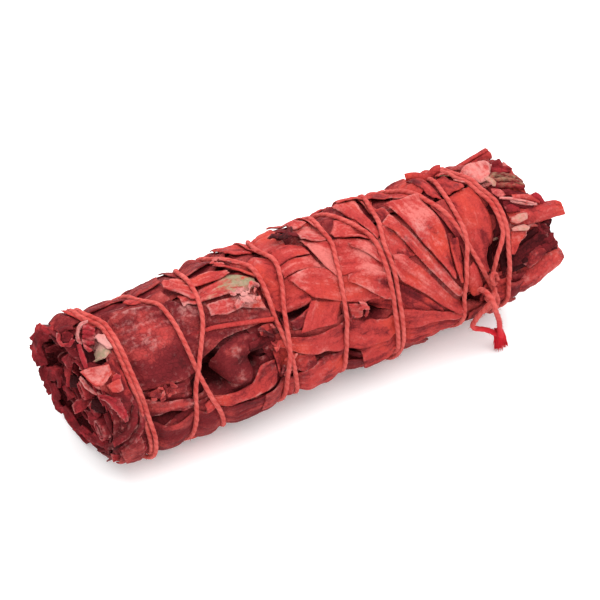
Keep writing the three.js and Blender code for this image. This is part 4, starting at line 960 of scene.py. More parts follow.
         [(-45.8, 23), (-44.0, 25), (-42.6, 22)], dye=1.0, bloom=0.7, green=1.0, lift=(0.6, 0.3, 0.5, 0.2),
         jag=(0.05, 0.1), tear=(0.1, 0.1), sink=0.1),
    leaf("undyed_flake_high", "leaf_pale", [(-44.2, 8), (-43.0, 5), (-41.9, 6)],
         [(-44.0, 14), (-43.0, 20), (-41.9, 20)], dye=1.0, bloom=0.9, green=0.3, lift=(0.5, 0.5, 0.5, 0.2),
         tear=(0.1, 0.1), sink=0.1),
    leaf("small_pink_curl", "leaf_pale", [(-45.8, 42), (-44.2, 40.5), (-42.8, 40.5)],
         [(-45.4, 47), (-44.2, 49.5), (-43, 49)], dye=0.7, bloom=0.6, curl=(0.5, 0),
         lift=(0.4, 0.6, 0.6, 0.2), sink=0.1),
    leaf("left_under_rim", "leaf_dark", [(-46.4, 94), (-44.5, 92), (-41.5, 91)],
         [(-45.4, 110), (-43.8, 114), (-41, 116)], dye=0.45, bloom=0.5, lift=(0.4, 0.3, 0.5, 0.1),
         crease=0.6, tear=(0.6, 0.1)),
    leaf("pale_tip_leaf", "leaf_pale", [(40.2, 44), (42, 43), (43.8, 46)],
         [(40.2, 50), (41.6, 50.5), (43.4, 48.5)], dye=0.8, bloom=0.8, green=0.3,
         lift=(0.2, 0.6, 0.1, 0.7)),
]


# Places of small loose bits: x range, angle range, count, smallest and largest size, slot, dye, bloom.
CRUMBS = [
    (-17.6, -12.0, 14, 25, 26, 0.6, 1.6, "leaf_pale", 0.66, 0.6),
    (-38.5, -34.0, 55, 64, 10, 0.7, 1.5, "leaf_dark", 0.55, 0.5),
    (2.8, 6.5, 50, 63, 7, 0.8, 1.7, "leaf_pale", 0.62, 0.5),
    (-17.5, -13.0, -20, -8, 10, 0.8, 1.8, "leaf_pale", 0.66, 0.6),
    # The row below: near-black bits in the hollow at x -1, angle -16, painted shade.
    (-4.0, 0.2, -22, -13, 14, 0.8, 2.2, "leaf_dark", 0.16, 0.1),
    (-12.5, -8.5, 72, 88, 5, 0.8, 1.6, "leaf_pale", 0.62, 0.6),
    (-15.0, -12.0, 44, 60, 6, 0.8, 1.8, "leaf_dark", 0.42, 0.4),
]


def crumb_leaves(chance):
    """The loose bits, each a small leaf with an uneven six-cornered outline."""
    crumbs = []
    for x0, x1, a0, a1, count, small, large, slot, dye, bloom in CRUMBS:
        for _ in range(count):
            size = chance.uniform(small, large)
            x = chance.uniform(x0, x1)
            angle = chance.uniform(a0, a1)
            half = size / 2 / MM_PER_DEGREE
            slant = chance.uniform(-half, half)
            edges = []
            for way in (-1, 1):
                out = [chance.uniform(0.1, 0.9), chance.uniform(0.5, 1.2), chance.uniform(0.1, 0.8)]
                across = angle + way * half * np.array(out) + np.array([-slant, 0, slant])
                edges.append(list(zip((x - size / 2, x, x + size / 2), across)))
            crumbs.append(leaf(
                "crumb_%03d" % len(crumbs), slot, *edges, dye=dye + chance.uniform(-0.25, 0.2), bloom=bloom,
                lift=chance.uniform(0.0, 0.45, 4).tolist(), sink=0.3, tear=(0.1, 0.1), jag=(0.1, 0.1)))
    return crumbs


def twine_knots():
    """The (angle, x) spots that the string passes, with the angle running down turn by turn."""
    knots = [(START_ANGLE, KNOT[0] + 0.6)]
    for turn, row in enumerate(TURNS):
        knots += [(a - 360 * turn, x) for a, x in zip(TURN_ANGLES, row) if x is not None]
    last = -360 * len(TURNS)
    return knots + [(100 + last, KNOT[0]), (FINISH_ANGLE + last, KNOT[0] - 1.4)]


def curve_slopes(t, value):
    """Slopes of a smooth curve through the values that never overshoots them."""
    steps = np.diff(value) / np.diff(t)
    slope = np.zeros_like(value)
    product = steps[:-1] * steps[1:]
    total = steps[:-1] + steps[1:]
    inner = np.where(product > 0, 2 * product / np.where(total == 0, 1, total), 0)
    slope[1:-1] = inner
    return slope


def curve_at(t, value, where):
    """The smooth curve's value: cubic between each two spots, with the slopes above."""
    slope = curve_slopes(t, value)
    i = np.clip(np.searchsorted(t, where, side="right") - 1, 0, len(t) - 2)
    span = t[i + 1] - t[i]
    s = (where - t[i]) / span
    bend = value[i] + (value[i + 1] - value[i]) * s * s * (3 - 2 * s)
    return bend + span * (slope[i] * s * (1 - s) ** 2 - slope[i + 1] * s * s * (1 - s))


def twine_path(step):
    """The winding's x and angle at evenly spaced spots."""
    knots = np.array(twine_knots())
    t = -knots[:, 0]
    fine = np.arange(t[0], t[-1], 0.5)
    x = curve_at(t, knots[:, 1], fine)
    angle = -fine
    way = np.concatenate([[0], np.cumsum(np.hypot(np.diff(x), np.diff(angle) * MM_PER_DEGREE))])
    even = np.arange(0, way[-1], step)
    return np.interp(even, way, x), np.interp(even, way, angle)


def press_grooves(bundle, depth):
    """Marks how deep the string presses in: each strand's line blurred by a bell curve, and no deeper where
    strands lie side by side."""
    step = 0.25
    x, angle = twine_path(step)
    marks = np.zeros_like(bundle.top)
    i = np.clip(np.round((x - MAP_LEFT) / MAP_STEP).astype(int), 0, marks.shape[0] - 1)
    j = np.round(np.mod(angle, 360.0)).astype(int) % MAP_ANGLES
    np.add.at(marks, (i, j), 1)
    width = 1.15
    full = MAP_STEP * MM_PER_DEGREE / (step * math.sqrt(2 * math.pi) * width)
    share = gaussian_blur(marks, width) / full
    bundle.groove = depth * np.minimum(share, 1.0)
    bundle.groove -= 0.25 * depth * gaussian_blur(np.minimum(share, 1.0), 3.0)


def least_radius(x, angle):
    """How far out the string stays near the right end, on the front of the top, where leaves fall away."""
    from_span = np.abs((angle + 140) % 360 - 190)
    return END_TURN_RADIUS * smooth_step((x - 35.0) / 1.5) * smooth_step(2 - from_span / 20)


def smooth_route(spots, step):
    """Spots a step apart on the smooth curve through the given ones."""
    way = np.concatenate([[0], np.cumsum(np.linalg.norm(np.diff(spots, axis=0), axis=1))])
    even = np.arange(0, way[-1], step)
    return np.stack([curve_at(way, spots[:, k], even) for k in range(3)], -1)


def settle_twine(bundle, x, angle, radius, least, earlier):
    """How far out the string lies: over the pressed leaves and over earlier strands, drawn tight between.

    A strand that crosses an earlier one rises by the height of a circle of two radii above it.
    """
    pressed = gaussian_blur(spread(bundle.top, 0.35), 0.9) - bundle.groove
    rest = look_up(pressed, x, angle) + radius * 0.6
    rest = np.maximum(rest, least)
    from_bottom = (angle % 360) - 180
    flat = (AXIS_HEIGHT - radius) / np.maximum(np.cos(np.radians(from_bottom)), 0.2)
    rest = np.where(np.abs(from_bottom) < 40, np.minimum(rest, flat), rest)
    if earlier is not None:
        ex, ea, er = earlier
        turn = (angle[:, None] - ea[None, :] + 180) % 360 - 180
        far = (x[:, None] - ex[None, :]) ** 2 + (turn * MM_PER_DEGREE) ** 2
        over = np.sqrt(np.clip((1.9 * radius) ** 2 - far, 0, None))
        rest = np.maximum(rest, np.max(np.where(far < (1.9 * radius) ** 2, er[None, :] + over, 0), axis=1))
    return rest


def drawn_tight(radius, step, slope):
    """Straightens a strand over its high spots: no spot lies lower than any other's radius less slope times
    the way between them, then a light blur."""
    count = len(radius)
    way = np.arange(count) * step
    tight = np.max(radius[None, :] - slope * np.abs(way[:, None] - way[None, :]), axis=1)
    kernel = np.exp(-(np.arange(-6, 7) * step / 1.5) ** 2)
    kernel /= kernel.sum()
    padded = np.concatenate([np.repeat(tight[:1], 6), tight, np.repeat(tight[-1:], 6)])
    return np.convolve(padded, kernel, "valid")


def twine_tube(shells, centres, radius, pitch, fray, seed):
    """A string of two twisted plies carried along a path.

    The ring about each spot has the radius R (0.88 + 0.15 |cos(turn - twist)|^0.8) with a little noise, so
    that two round plies wind about each other once a pitch. Towards a frayed end the ring widens."""
    side, out = path_sides(centres)
    step = np.linalg.norm(np.gradient(centres, axis=0), axis=1)
    way = np.concatenate([[0], np.cumsum(step[1:])])
    turn = np.linspace(0, 2 * math.pi, TWINE_SIDES, endpoint=False)[None, :]
    twist = 2 * math.pi * way[:, None] / pitch
    lobes = 0.88 + 0.15 * np.abs(np.cos(turn - twist)) ** 0.8
    rough = 1 + 0.06 * noise(way[:, None] / 0.9 + 0 * turn, turn * 2 + 0 * way[:, None], seed, 2)
    uneven = 1 + 0.06 * noise(way[:, None] / 6, 0.5 + 0 * way[:, None], seed + 3, 2)
    tint = np.ones((len(way), TWINE_SIDES, 4))
    # Red is 1 on the crowns of the plies and 0 in the grooves between them; the string's material dyes the
    # crowns paler: painted light and shade.
    tint[..., 0] = np.abs(np.cos(turn - twist))
    tint[..., 1] = 0
    if fray:
        uneven = uneven * (1 + 0.2 * smooth_step((way[:, None] - way[-1] + 2.2) / 2.2))
        tint[..., 1] = 0.95 * smooth_step((way[:, None] - way[-1] * 0.35) / (way[-1] * 0.5))
    shells.add_tube(centres, side, out, radius * lobes * rough * uneven, way, tint, TWINE_SIDES)


def add_slivers(shells, stations, side, up, way, tint):
    """Thin three-sided slivers: at each station a triangle of the given size about its centre, with corners
    to one side, above and to the other side."""
    corners = [np.stack([centre + size * side, centre + size * up, centre - size * side], 1)
               for centre, size in stations]
    points = np.stack(corners, 1)
    index = np.arange(points.size // 3).reshape(-1, 3, 3)
    ahead = np.roll(index, -1, 2)
    quads = np.stack([index[:, :-1], ahead[:, :-1], ahead[:, 1:], index[:, 1:]], -1).reshape(-1, 4)
    uv = np.zeros((index.size, 2))
    uv[:, 0] = np.repeat(way, 9)
    shells.add(points, quads, uv, np.tile(np.array(tint, float), (index.size, 1)))


def fibres(shells, centres, radius, count, seed):
    """Loose cotton fibres: thin slivers that leave the string at a shallow angle."""
    chance = np.random.default_rng(seed)
    spot = chance.integers(3, len(centres) - 4, count)
    along = unit(centres[spot + 2] - centres[spot - 2])
    random = chance.normal(size=(count, 3))
    off = unit(random - np.sum(random * along, 1)[:, None] * along)
    start = centres[spot] + off * radius * 0.8
    length = chance.uniform(0.5, 1.5, count)[:, None]
    lean = chance.uniform(-1, 1, count)[:, None]
    middle = start + length * 0.5 * (off * 0.55 + along * lean)
    end = start + length * (off * 0.5 + along * lean * 1.5)
    thin = FIBRE_THICKNESS
    stations = ((start, thin), (middle, thin), (end, thin * 0.3))
    add_slivers(shells, stations, np.cross(off, along), off, np.zeros(count), (0, 0, 0, 1))


def brush(shells, centres, radius, seed):
    """The frayed end of a tail: slivers that go on from its last spot, spread sideways, uneven in length."""
    chance = np.random.default_rng(seed)
    count = BRUSH_SLIVERS
    along = unit(np.array(BRUSH_WAY))
    side = unit(np.cross(along, from_axis(centres[-1])))
    up = np.cross(side, along)
    spread_by = chance.uniform(-1, 1, count)[:, None]
    back = chance.uniform(0.3, 1.8, count)[:, None]
    start = centres[-1] - back * along + radius * 1.1 * spread_by * side
    start = start + radius * 0.9 * chance.uniform(-1, 1, count)[:, None] * up
    reach = back + BRUSH_LENGTH * chance.uniform(0.5, 1.0, count)[:, None]
    end = start + reach * along + reach * 0.19 * spread_by * side + 0.12 * chance.normal(size=(count, 3))
    middle = (start + end) / 2 + 0.06 * chance.normal(size=(count, 3))
    stations = ((start, SLIVER_THICKNESS), (middle, SLIVER_THICKNESS), (end, SLIVER_TIP))
    add_slivers(shells, stations, -side, up, 0.7 * np.arange(count), (0, 1, 0, 1))


BUNDLE = None


def bundle_so_far():
    """The bundle's map, started with the core when the first piece is built."""
    global BUNDLE
    if BUNDLE is None:
        BUNDLE = Bundle()
        press_grooves(BUNDLE, bpy.context.scene.sage_sizes.groove / MM)
    return BUNDLE


def random_leaf(chance, name, slot, start, end, width, **shape):
    """A leaf of its own outline: the two edges stand off the line from start to end by half the width times
    a rounded profile that is fullest before the middle, each with its own waves."""
    t = np.linspace(0, 1, 9)
    bow = chance.uniform(-4, 4)
    middle = np.array(start)[None] * (1 - t[:, None]) + np.array(end)[None] * t[:, None]
    middle[:, 1] += bow * np.sin(math.pi * t)
    profile = np.sin(math.pi * (0.12 + 0.76 * t ** 0.8)) ** 0.7
    upper = middle.copy()
    lower = middle.copy()
    half = width / 2 / MM_PER_DEGREE
    upper[:, 1] -= half * profile * (1 + chance.uniform(-0.2, 0.2, 9))
    lower[:, 1] += half * profile * (1 + chance.uniform(-0.2, 0.2, 9))
    return leaf(name, slot, upper.tolist(), lower.tolist(), **shape)


def usual_dye(x):
    """Dye of an ordinary leaf at x: dark towards the left end, coral from the middle on."""
    return 0.40 + 0.26 * smooth_step((x + 26) / 12)


def clear_of_hollows(x0, x1, angle, half):
    """Whether a strip keeps off every hollow."""
    for hx, ha, half_x, half_a, _ in HOLLOWS:
        turn = abs((angle - ha + 180) % 360 - 180) * MM_PER_DEGREE
        if x0 < hx + half_x and x1 > hx - half_x and turn < half_a + half:
            return False
    return True


def end_sheet(shells, end, side, radius, start, arc, depth, stick, wave, spiral, flare, dye, bloom, seed,
              cell):
    """A curled inner leaf whose torn edge stands out of an end of the bundle.

    It runs round the axis from its start angle over its arc. Its radius wanders by waves and shrinks along
    the arc as a spiral does, it flares towards its edge, and its edge is ragged about the slanted end."""
    rows = max(8, math.ceil(math.radians(abs(arc)) * max(radius, 2) / cell))
    columns = max(8, math.ceil(depth / cell))
    s, t = square_grid(rows, columns)
    angle = start + arc * s
    way = math.radians(abs(arc)) * radius * s
    waves = wave * noise(way / 2.6, t * 1.5, seed, 3) * (0.4 + 0.6 * t)
    r = np.maximum(radius * (1 - spiral * s) + waves + flare * t ** 2, 0.4)
    edge = ragged(way, 0.45, seed + 1) + 0.9 * noise(way / 5, 0.5 + 0 * way, seed + 2, 2)
    x_end = end_of_leaves(end, angle, r)
    if side < 0:
        for y, z, reach, deep in LEFT_HOLLOWS:
            far = (-r * np.sin(np.radians(angle)) - y) ** 2 + (r * np.cos(np.radians(angle)) - z) ** 2
            x_end = x_end + deep * np.exp(-(far / reach ** 2) ** 2)
    x = x_end - side * depth * (1 - t) + side * (stick - edge) * t
    middle = place(x, angle, r)
    middle[..., 2] = np.maximum(middle[..., 2], TABLE_CLEARANCE)
    rim = np.exp(-((1 - t) * depth / 0.5) ** 2)
    tint = tint_of(x.shape, 0, 0)
    # Deeper in the end a sheet's dye falls to about half and its bloom to a third: painted shade in the
    # recesses between the rings.
    tint[..., 0] = dye * (0.45 + 0.55 * smooth_step(1.2 - (1 - t) * depth / 6)) + 0.12 * rim
    tint[..., 1] = bloom * (0.3 + 0.7 * t) + 0.4 * rim
    uv = np.stack([way, (t - 0.5) * depth], -1)
    shells.add_sheet(middle, 0.30, uv, tint)


def roll_sheet(shells, start, end, radius, turns, flat, dye, bloom, green, seed, cell):
    """A leaf rolled into an open tube between two (x, angle, radius) spots.

    The roll's cross-section is a spiral that starts at the given radius and tightens by a third in each
    turn."""
    a, b = (place(*[np.array(float(value)) for value in spot]) for spot in (start, end))
    axis = b - a
    length = np.linalg.norm(axis)
    axis = axis / length
    out = from_axis(a)
    out = unit(out - np.dot(out, axis) * axis)
    side = np.cross(axis, out)
    columns = max(10, math.ceil(2 * math.pi * turns * radius / cell))
    rows = max(10, math.ceil(length / cell))
    u, v = square_grid(rows, columns)
    turn = 2 * math.pi * turns * v + 0.6
    r = radius * (1 - 0.33 * turns * v) * (1 + 0.10 * noise(u * length / 3, v * 4 * turns, seed, 2))
    edge = ragged(v * 6 * turns, 0.5, seed + 1) / length
    way = length * u * (1 - edge * u)
    middle = a + way[..., None] * axis + (r * np.cos(turn))[..., None] * side
    middle = middle + (r * np.sin(turn) * flat)[..., None] * out
    rim = np.exp(-((1 - u) * length / 0.45) ** 2)
    tint = tint_of(u.shape, 0, 0)
    tint[..., 0] = dye[0] * (1 - u) + dye[1] * u + 0.08 * rim
    tint[..., 1] = bloom[0] * (1 - u) + bloom[1] * u + 0.3 * rim
    tint[..., 2] = green * (1 - u)
    shells.add_sheet(middle, 0.34, np.stack([u * length, v * 3], -1), tint)


def view_axes():
    """The camera's directions to the right, up and back, and the spot that it aims at."""
    e = math.radians(CAMERA["elevation"])
    a = math.radians(CAMERA["azimuth"])
    back = np.array([math.sin(a) * math.cos(e), -math.cos(a) * math.cos(e), math.sin(e)])
    right = np.array([math.cos(a), math.sin(a), 0])
    up = np.cross(back, right)
    aim = np.array([0, 0, AXIS_HEIGHT]) + CAMERA["right"] * right + CAMERA["up"] * up
    return right, up, back, aim


def on_plane(spots, anchor, normal):
    """Where the lines from the camera through spots of its view meet the plane through anchor."""
    right, up, back, aim = view_axes()
    half = CAMERA["pixels"] / 2
    across = (spots[..., 0] - half) * CAMERA["mm_per_pixel"]
    above = (half - spots[..., 1]) * CAMERA["mm_per_pixel"]
    lines = across[..., None] * right + above[..., None] * up - CAMERA["distance"] * back
    eye = aim + CAMERA["distance"] * back
    way = ((anchor - eye) @ normal) / (lines @ normal)
    return eye + way[..., None] * lines


def on_cylinder(spot, radius):
    """Where the line from the camera through a spot of its view meets the cylinder of this radius about the
    axis, or comes nearest to it."""
    eye = on_plane(spot, np.array([0, 0, 400.0]), np.array([0, 0, 1.0]))
    far = on_plane(spot, np.zeros(3), np.array([0, 0, 1.0]))
    line = (far - eye) / np.linalg.norm(far - eye)
    from_axis = eye - np.array([0, 0, AXIS_HEIGHT])
    square = line[1] ** 2 + line[2] ** 2
    half = from_axis[1] * line[1] + from_axis[2] * line[2]
    rest = from_axis[1] ** 2 + from_axis[2] ** 2 - radius ** 2
    root = math.sqrt(max(half * half - square * rest, 0))
    return eye + line * (-half - root) / square


def even_line(points, count):
    """Evenly spaced spots along a polyline, with its corners a little rounded."""
    points = np.array(points, float)
    way = np.concatenate([[0], np.cumsum(np.linalg.norm(np.diff(points, axis=0), axis=1))])
    fine = np.linspace(0, way[-1], count)
    line = np.stack([np.interp(fine, way, points[:, k]) for k in range(points.shape[1])], -1)
    for _ in range(3):
        line[1:-1] = (line[:-2] + 2 * line[1:-1] + line[2:]) / 4
    return line


def torn_plane(end, side, piece, spot):
    """The plane that carries a torn bit, as a point and a normal.

    The point is where the bit's middle meets the slanted end, or the cylinder round the bundle for a bit that
    lies beyond the end's rim or has a radius of its own, moved out a little. The normal lies between the
    surface's and the direction to the camera."""
    outward = np.array([side, -side * end["per_y"], -side * end["per_z"]])
    anchor = on_plane(spot, np.array([end["x"], 0, AXIS_HEIGHT]), outward)
    beyond = np.linalg.norm(from_axis(anchor)) > END_RADIUS
    if piece["radius"] or beyond:
        anchor = on_cylinder(spot, (piece["radius"] or END_RADIUS - 0.4) - TORN_SINK)
        outward = from_axis(anchor)
    outward = unit(outward)
    stand_off = min(piece["out"], RIM_STAND_OFF) if beyond else piece["out"]
    back = view_axes()[2]
    facing = max(piece["facing"], LEAST_FACING - outward @ back)
    return anchor + stand_off * outward, unit(outward * (1 - facing) + back * facing)


def torn_relief(piece, u, v, length, width, seed):
    """How far a torn bit's dome, crumples, ridges and curled edge raise each of its points."""
    rise = piece["dome"] * np.sin(math.pi * v) * np.sin(math.pi * np.clip(u, 0.05, 0.95))
    rise = rise + piece["crumple"] * noise(u * length / 1.6, v * width / 1.0, seed + 1, 3)
    rise = rise + 0.22 * piece["crumple"] * noise(u * length / 0.6, v * width / 0.5, seed + 4, 2)
    rise = rise + piece["ridges"] * np.abs(np.sin(math.pi * v * piece["ridge_count"]))
    return rise + piece["curl"] * np.exp(-((1 - v) * width / 0.8) ** 2)


def kept_in_reach(points):
    """The points, drawn in towards the axis where they lie too far out, and kept between the ends and above
    the table."""
    out = from_axis(points)
    kept = np.minimum(1, TORN_REACH / np.maximum(np.hypot(out[..., 1], out[..., 2]), 1))
    points[..., 1] *= kept
    points[..., 2] = np.maximum(AXIS_HEIGHT + out[..., 2] * kept, TABLE_CLEARANCE)
    points[..., 0] = np.clip(points[..., 0], FURTHEST_LEFT, FURTHEST_RIGHT)
    return points


def torn_piece(shells, end, side, piece, seed):
    """A torn bit of leaf that stands out of an end of the bundle.

    Its outline is given as the camera's view shows it, and is laid on the plane that carries the bit. Domes,
    folds and crumples raise it along the plane's normal."""
    upper = even_line(piece["upper"], TORN_SPOTS)
    lower = even_line(piece["lower"], TORN_SPOTS)
    anchor, normal = torn_plane(end, side, piece, (upper.mean(0) + lower.mean(0)) / 2)
    size = CAMERA["mm_per_pixel"]
    length = np.linalg.norm(np.diff(upper, axis=0), axis=1).sum() * size
    width = np.linalg.norm(upper - lower, axis=1).mean() * size
    u, v = square_grid(max(8, math.ceil(length / TORN_CELL)), max(6, math.ceil(width / TORN_CELL)))
    stations = np.arange(TORN_SPOTS)
    where = u * (TORN_SPOTS - 1)
    top = np.stack([np.interp(where, stations, upper[:, k]) for k in (0, 1)], -1)
    low = np.stack([np.interp(where, stations, lower[:, k]) for k in (0, 1)], -1)
    tatter = (0.10 if piece["whole"] else 0.30) / max(width, 1.5) * noise(u * length / 0.7, v * 2, seed, 4)
    share = (v + tatter * np.abs(2 * v - 1) ** 3)[..., None]
    points = on_plane(top * (1 - share) + low * share, anchor, normal)
    points = kept_in_reach(points + torn_relief(piece, u, v, length, width, seed)[..., None] * normal)
    margin = np.minimum(np.minimum(u, 1 - u) * length, np.minimum(v, 1 - v) * width)
    rim = np.exp(-(margin / 0.3) ** 2) * (0.5 + 0.5 * noise(u * 4, v * 3, seed + 2, 2))
    tint = tint_of(u.shape, 0, 0)
    uneven = 0.22 * noise(u * length / 1.5, v * width / 1.2, seed + 3, 3)
    tint[..., 0] = piece["dye"] + piece["fade"] * u + uneven + piece["rim"] * 0.3 * rim
    tint[..., 1] = piece["bloom"] + piece["rim"] * rim
    tint[..., 2] = piece["green"] * (1 - u * (piece["fade"] != 0))
    uv = np.stack([u * length, (v - 0.5) * width], -1)
    if np.cross(points[-1, 0] - points[0, 0], points[0, -1] - points[0, 0]) @ normal < 0:
        points, uv, tint = points[:, ::-1], uv[:, ::-1], tint[:, ::-1]
    shells.add_sheet(points, TORN_THICKNESS, uv, tint)


TORN_DEFAULTS = {
    "out": 0.1, "facing": 0.5, "dye": 0.42, "bloom": 0.15, "green": 0.0, "dome": 0.3, "crumple": 0.45,
    "ridges": 0.0, "ridge_count": 3, "curl": 0.3, "rim": 0.35, "radius": 0, "fade": 0.0, "whole": False,
}


def torn(upper, lower, **shape):
    """One torn bit: its two long edges in the camera's view, and how it differs from TORN_DEFAULTS."""
    return {**TORN_DEFAULTS, "upper": upper, "lower": lower, **shape}


# Torn bits of the left end, from the deepest to the outermost, in pixels of the camera's view.
LEFT_BITS = [
    torn([(30, 345), (36, 334), (44, 328), (56, 326)], [(36, 352), (42, 345), (50, 339), (60, 336)],
         dye=0.40, crumple=0.6),
    torn([(29.5, 338), (34, 332), (36, 326)], [(36, 344), (41, 338), (45, 331)], dye=0.50, crumple=0.6,
         out=0.9),
    torn([(36, 326), (41, 322.5), (47, 327), (54, 325)], [(38, 331), (44, 329), (49, 333), (56, 332)],
         dye=0.52, out=1.0, curl=0.7),
    torn([(30, 345), (31, 353), (34, 361), (38, 366)], [(41, 342), (44, 350), (47, 358), (49, 364)],
         dye=0.48, crumple=0.7),
    torn([(57, 333), (57, 341), (62, 346), (71, 346), (76, 339)],
         [(61, 334), (61, 340), (65, 343), (70, 342.5), (73, 338)], dye=0.50, bloom=0.35, rim=0.8, out=0.8),
    torn([(58, 330), (64, 326), (72, 325)], [(60, 334), (66, 331), (74, 331)], dye=0.40, bloom=0.3,
         out=0.7),
    torn([(62, 333), (68, 331), (73, 334)], [(62, 342), (68, 343), (73, 339)], dye=0.26, bloom=0.1, out=0.1,
         dome=-0.6),
    torn([(88, 320), (80, 323), (77, 328), (75.5, 335), (77, 342), (82, 345)],
         [(88, 323), (82.5, 326), (80, 331), (79, 336), (80, 341), (83, 343)], dye=0.62, bloom=0.7, rim=1.0,
         out=1.3, facing=0.6),
    torn([(83, 326), (88, 325), (95, 329)], [(82, 343), (89, 347), (95, 345)], dye=0.74, bloom=0.6,
         ridges=0.5, ridge_count=4, out=0.7, facing=0.7),
    torn([(83, 344), (88, 347), (92, 350)], [(84, 348), (89, 352), (93, 351)], dye=0.74, bloom=0.6,
         out=0.8),
    # A near-black sheet set back behind the bits: painted shade in the dark hole under them.
    torn([(83, 348), (92, 354), (101, 361), (109, 358)], [(85, 370), (92, 367), (101, 365), (110, 362)],
         dye=-0.2, bloom=0.0, out=-1.1, crumple=0.8, rim=0.1),
    torn([(77, 345), (79, 353), (82, 361), (85, 369)], [(80.5, 344), (83, 352), (86, 360), (88, 368)],
         dye=0.56, bloom=0.4, rim=0.5, out=1.2, crumple=0.1, dome=0.5),
    torn([(62, 359), (70, 353), (75.5, 348)], [(68, 367), (72, 366), (75, 361)], dye=0.45, bloom=0.4,
         rim=0.6, out=0.9),
    torn([(39, 368), (42, 376), (45, 386), (49, 395)], [(46, 364), (50, 372), (53, 382), (56, 392)],
         dye=0.42, crumple=0.7),
    torn([(47, 367), (55, 365), (63, 368)], [(49, 378), (56, 380), (62, 377)], dye=0.44, crumple=0.6,
         out=0.8),
    torn([(80, 372), (88, 368), (99, 366), (109, 364)], [(90, 382), (96, 387), (104, 385), (112, 374)],
         dye=0.92, bloom=0.85, curl=0.8, rim=-0.6, dome=-0.2, out=0.5, facing=0.6, radius=15.6, crumple=0.1,
         whole=True),
    torn([(82, 375), (88, 384), (95, 390), (104, 393)], [(80, 378), (86, 388), (94, 393), (104, 395)],
         dye=0.62, bloom=0.7, rim=0.9, out=0.6, facing=0.6),
    # The next two near-black bits fill the dark holes between the torn bits: painted shade.
    torn([(70, 376), (78, 376), (86, 382)], [(72, 386), (80, 388), (88, 390)], dye=-0.1, bloom=0.0,
         out=-0.3, rim=0.1),
    torn([(92, 400), (98, 399), (105, 403)], [(92, 409), (98, 411), (106, 412)], dye=-0.2, bloom=0.0,
         out=0.4, rim=0.1),
    torn([(54, 368), (57, 378), (58, 388)], [(62, 367), (63, 378), (62, 387)], dye=0.48, rim=0.6, out=0.9,
         facing=0.7),
    torn([(65, 367), (66, 376), (67, 386)], [(73, 367), (72, 378), (72, 387)], dye=0.40, rim=0.6, out=0.6,
         facing=0.7),
    torn([(49, 384), (52, 393), (54, 402)], [(57, 382), (60, 391), (61, 399)], dye=0.46, crumple=0.6,
         out=0.8),
    torn([(62, 386), (66, 392), (69, 400)], [(68, 384), (72, 390), (76, 396)], dye=0.38, crumple=0.6),
    torn([(52, 400), (55, 408), (61, 414)], [(60, 397), (63, 404), (68, 410)], dye=0.46, crumple=0.7,
         out=0.8),
    torn([(61, 408), (66, 418), (74, 428), (80, 435)], [(68, 404), (73, 413), (80, 423), (86, 431)],
         dye=0.46, crumple=0.7, out=0.6),
    torn([(78, 428), (86, 437), (94, 445)], [(84, 424), (92, 432), (100, 440)], dye=0.48, crumple=0.7,
         out=0.8),
    torn([(90, 438), (100, 446), (110, 453)], [(94, 432), (104, 439), (115, 445)], dye=0.42, crumple=0.6,
         out=0.6),
    torn([(71.5, 405), (80, 398), (93, 396)], [(76, 414), (84, 410), (91, 404)], dye=0.46, bloom=0.35,
         rim=0.8, out=1.2, facing=0.7),
    torn([(94, 398), (90, 404), (92, 412), (99, 418)], [(98, 400), (95, 405), (97, 410), (102, 414)],
         dye=0.42, bloom=0.5, rim=0.7, out=0.9),
    torn([(88, 412), (98, 410), (110, 419), (115, 427)], [(90, 423), (98, 425), (106, 430), (113, 431)],
         dye=0.46, bloom=0.35, rim=0.7, out=1.0, facing=0.65, dome=0.7),
    torn([(98, 395), (109, 395.5), (120, 398), (126, 408), (128, 421)],
         [(99, 398), (106, 401), (113, 408), (120, 416), (126, 422.5)], dye=0.62, bloom=0.5, rim=0.8,
         out=1.6, facing=0.7, crumple=0.5, ridges=0.3, ridge_count=2),
    torn([(113, 376), (117, 373), (121, 375)], [(110, 389), (115, 391), (120.5, 392)], dye=0.66, bloom=0.4,
         rim=0.7, radius=15.4, out=0.6),
    torn([(134, 404), (139, 412), (139, 424), (131, 438), (118, 449)],
         [(141, 404), (145, 414), (144, 428), (134, 444), (120, 454)], dye=0.42, bloom=0.6, ridges=0.35,
         ridge_count=3, out=0.1, facing=0.35, radius=14.6),
    torn([(110, 453), (122, 452), (134, 446), (144, 438)], [(112, 459), (124, 459), (136, 454), (146, 446)],
         dye=0.60, bloom=0.6, ridges=0.3, out=0.1, facing=0.2, radius=15.0),
    torn([(103, 432), (112, 428), (118, 427)], [(104, 437), (111, 436), (120, 432)], dye=0.55, bloom=0.6,
         rim=0.8, out=1.0),
    torn([(84, 432), (94, 438), (106, 441), (116, 438)], [(88, 439), (98, 444), (108, 446), (118, 442)],
         dye=0.36, bloom=0.4, out=0.4),
    torn([(126, 396), (132, 404), (131, 418), (124, 432), (112, 441)],
         [(131, 394), (138, 406), (137, 421), (129, 437), (114, 447)], dye=0.38, bloom=0.5, ridges=0.35,
         ridge_count=3, out=0.5, facing=0.45),
]


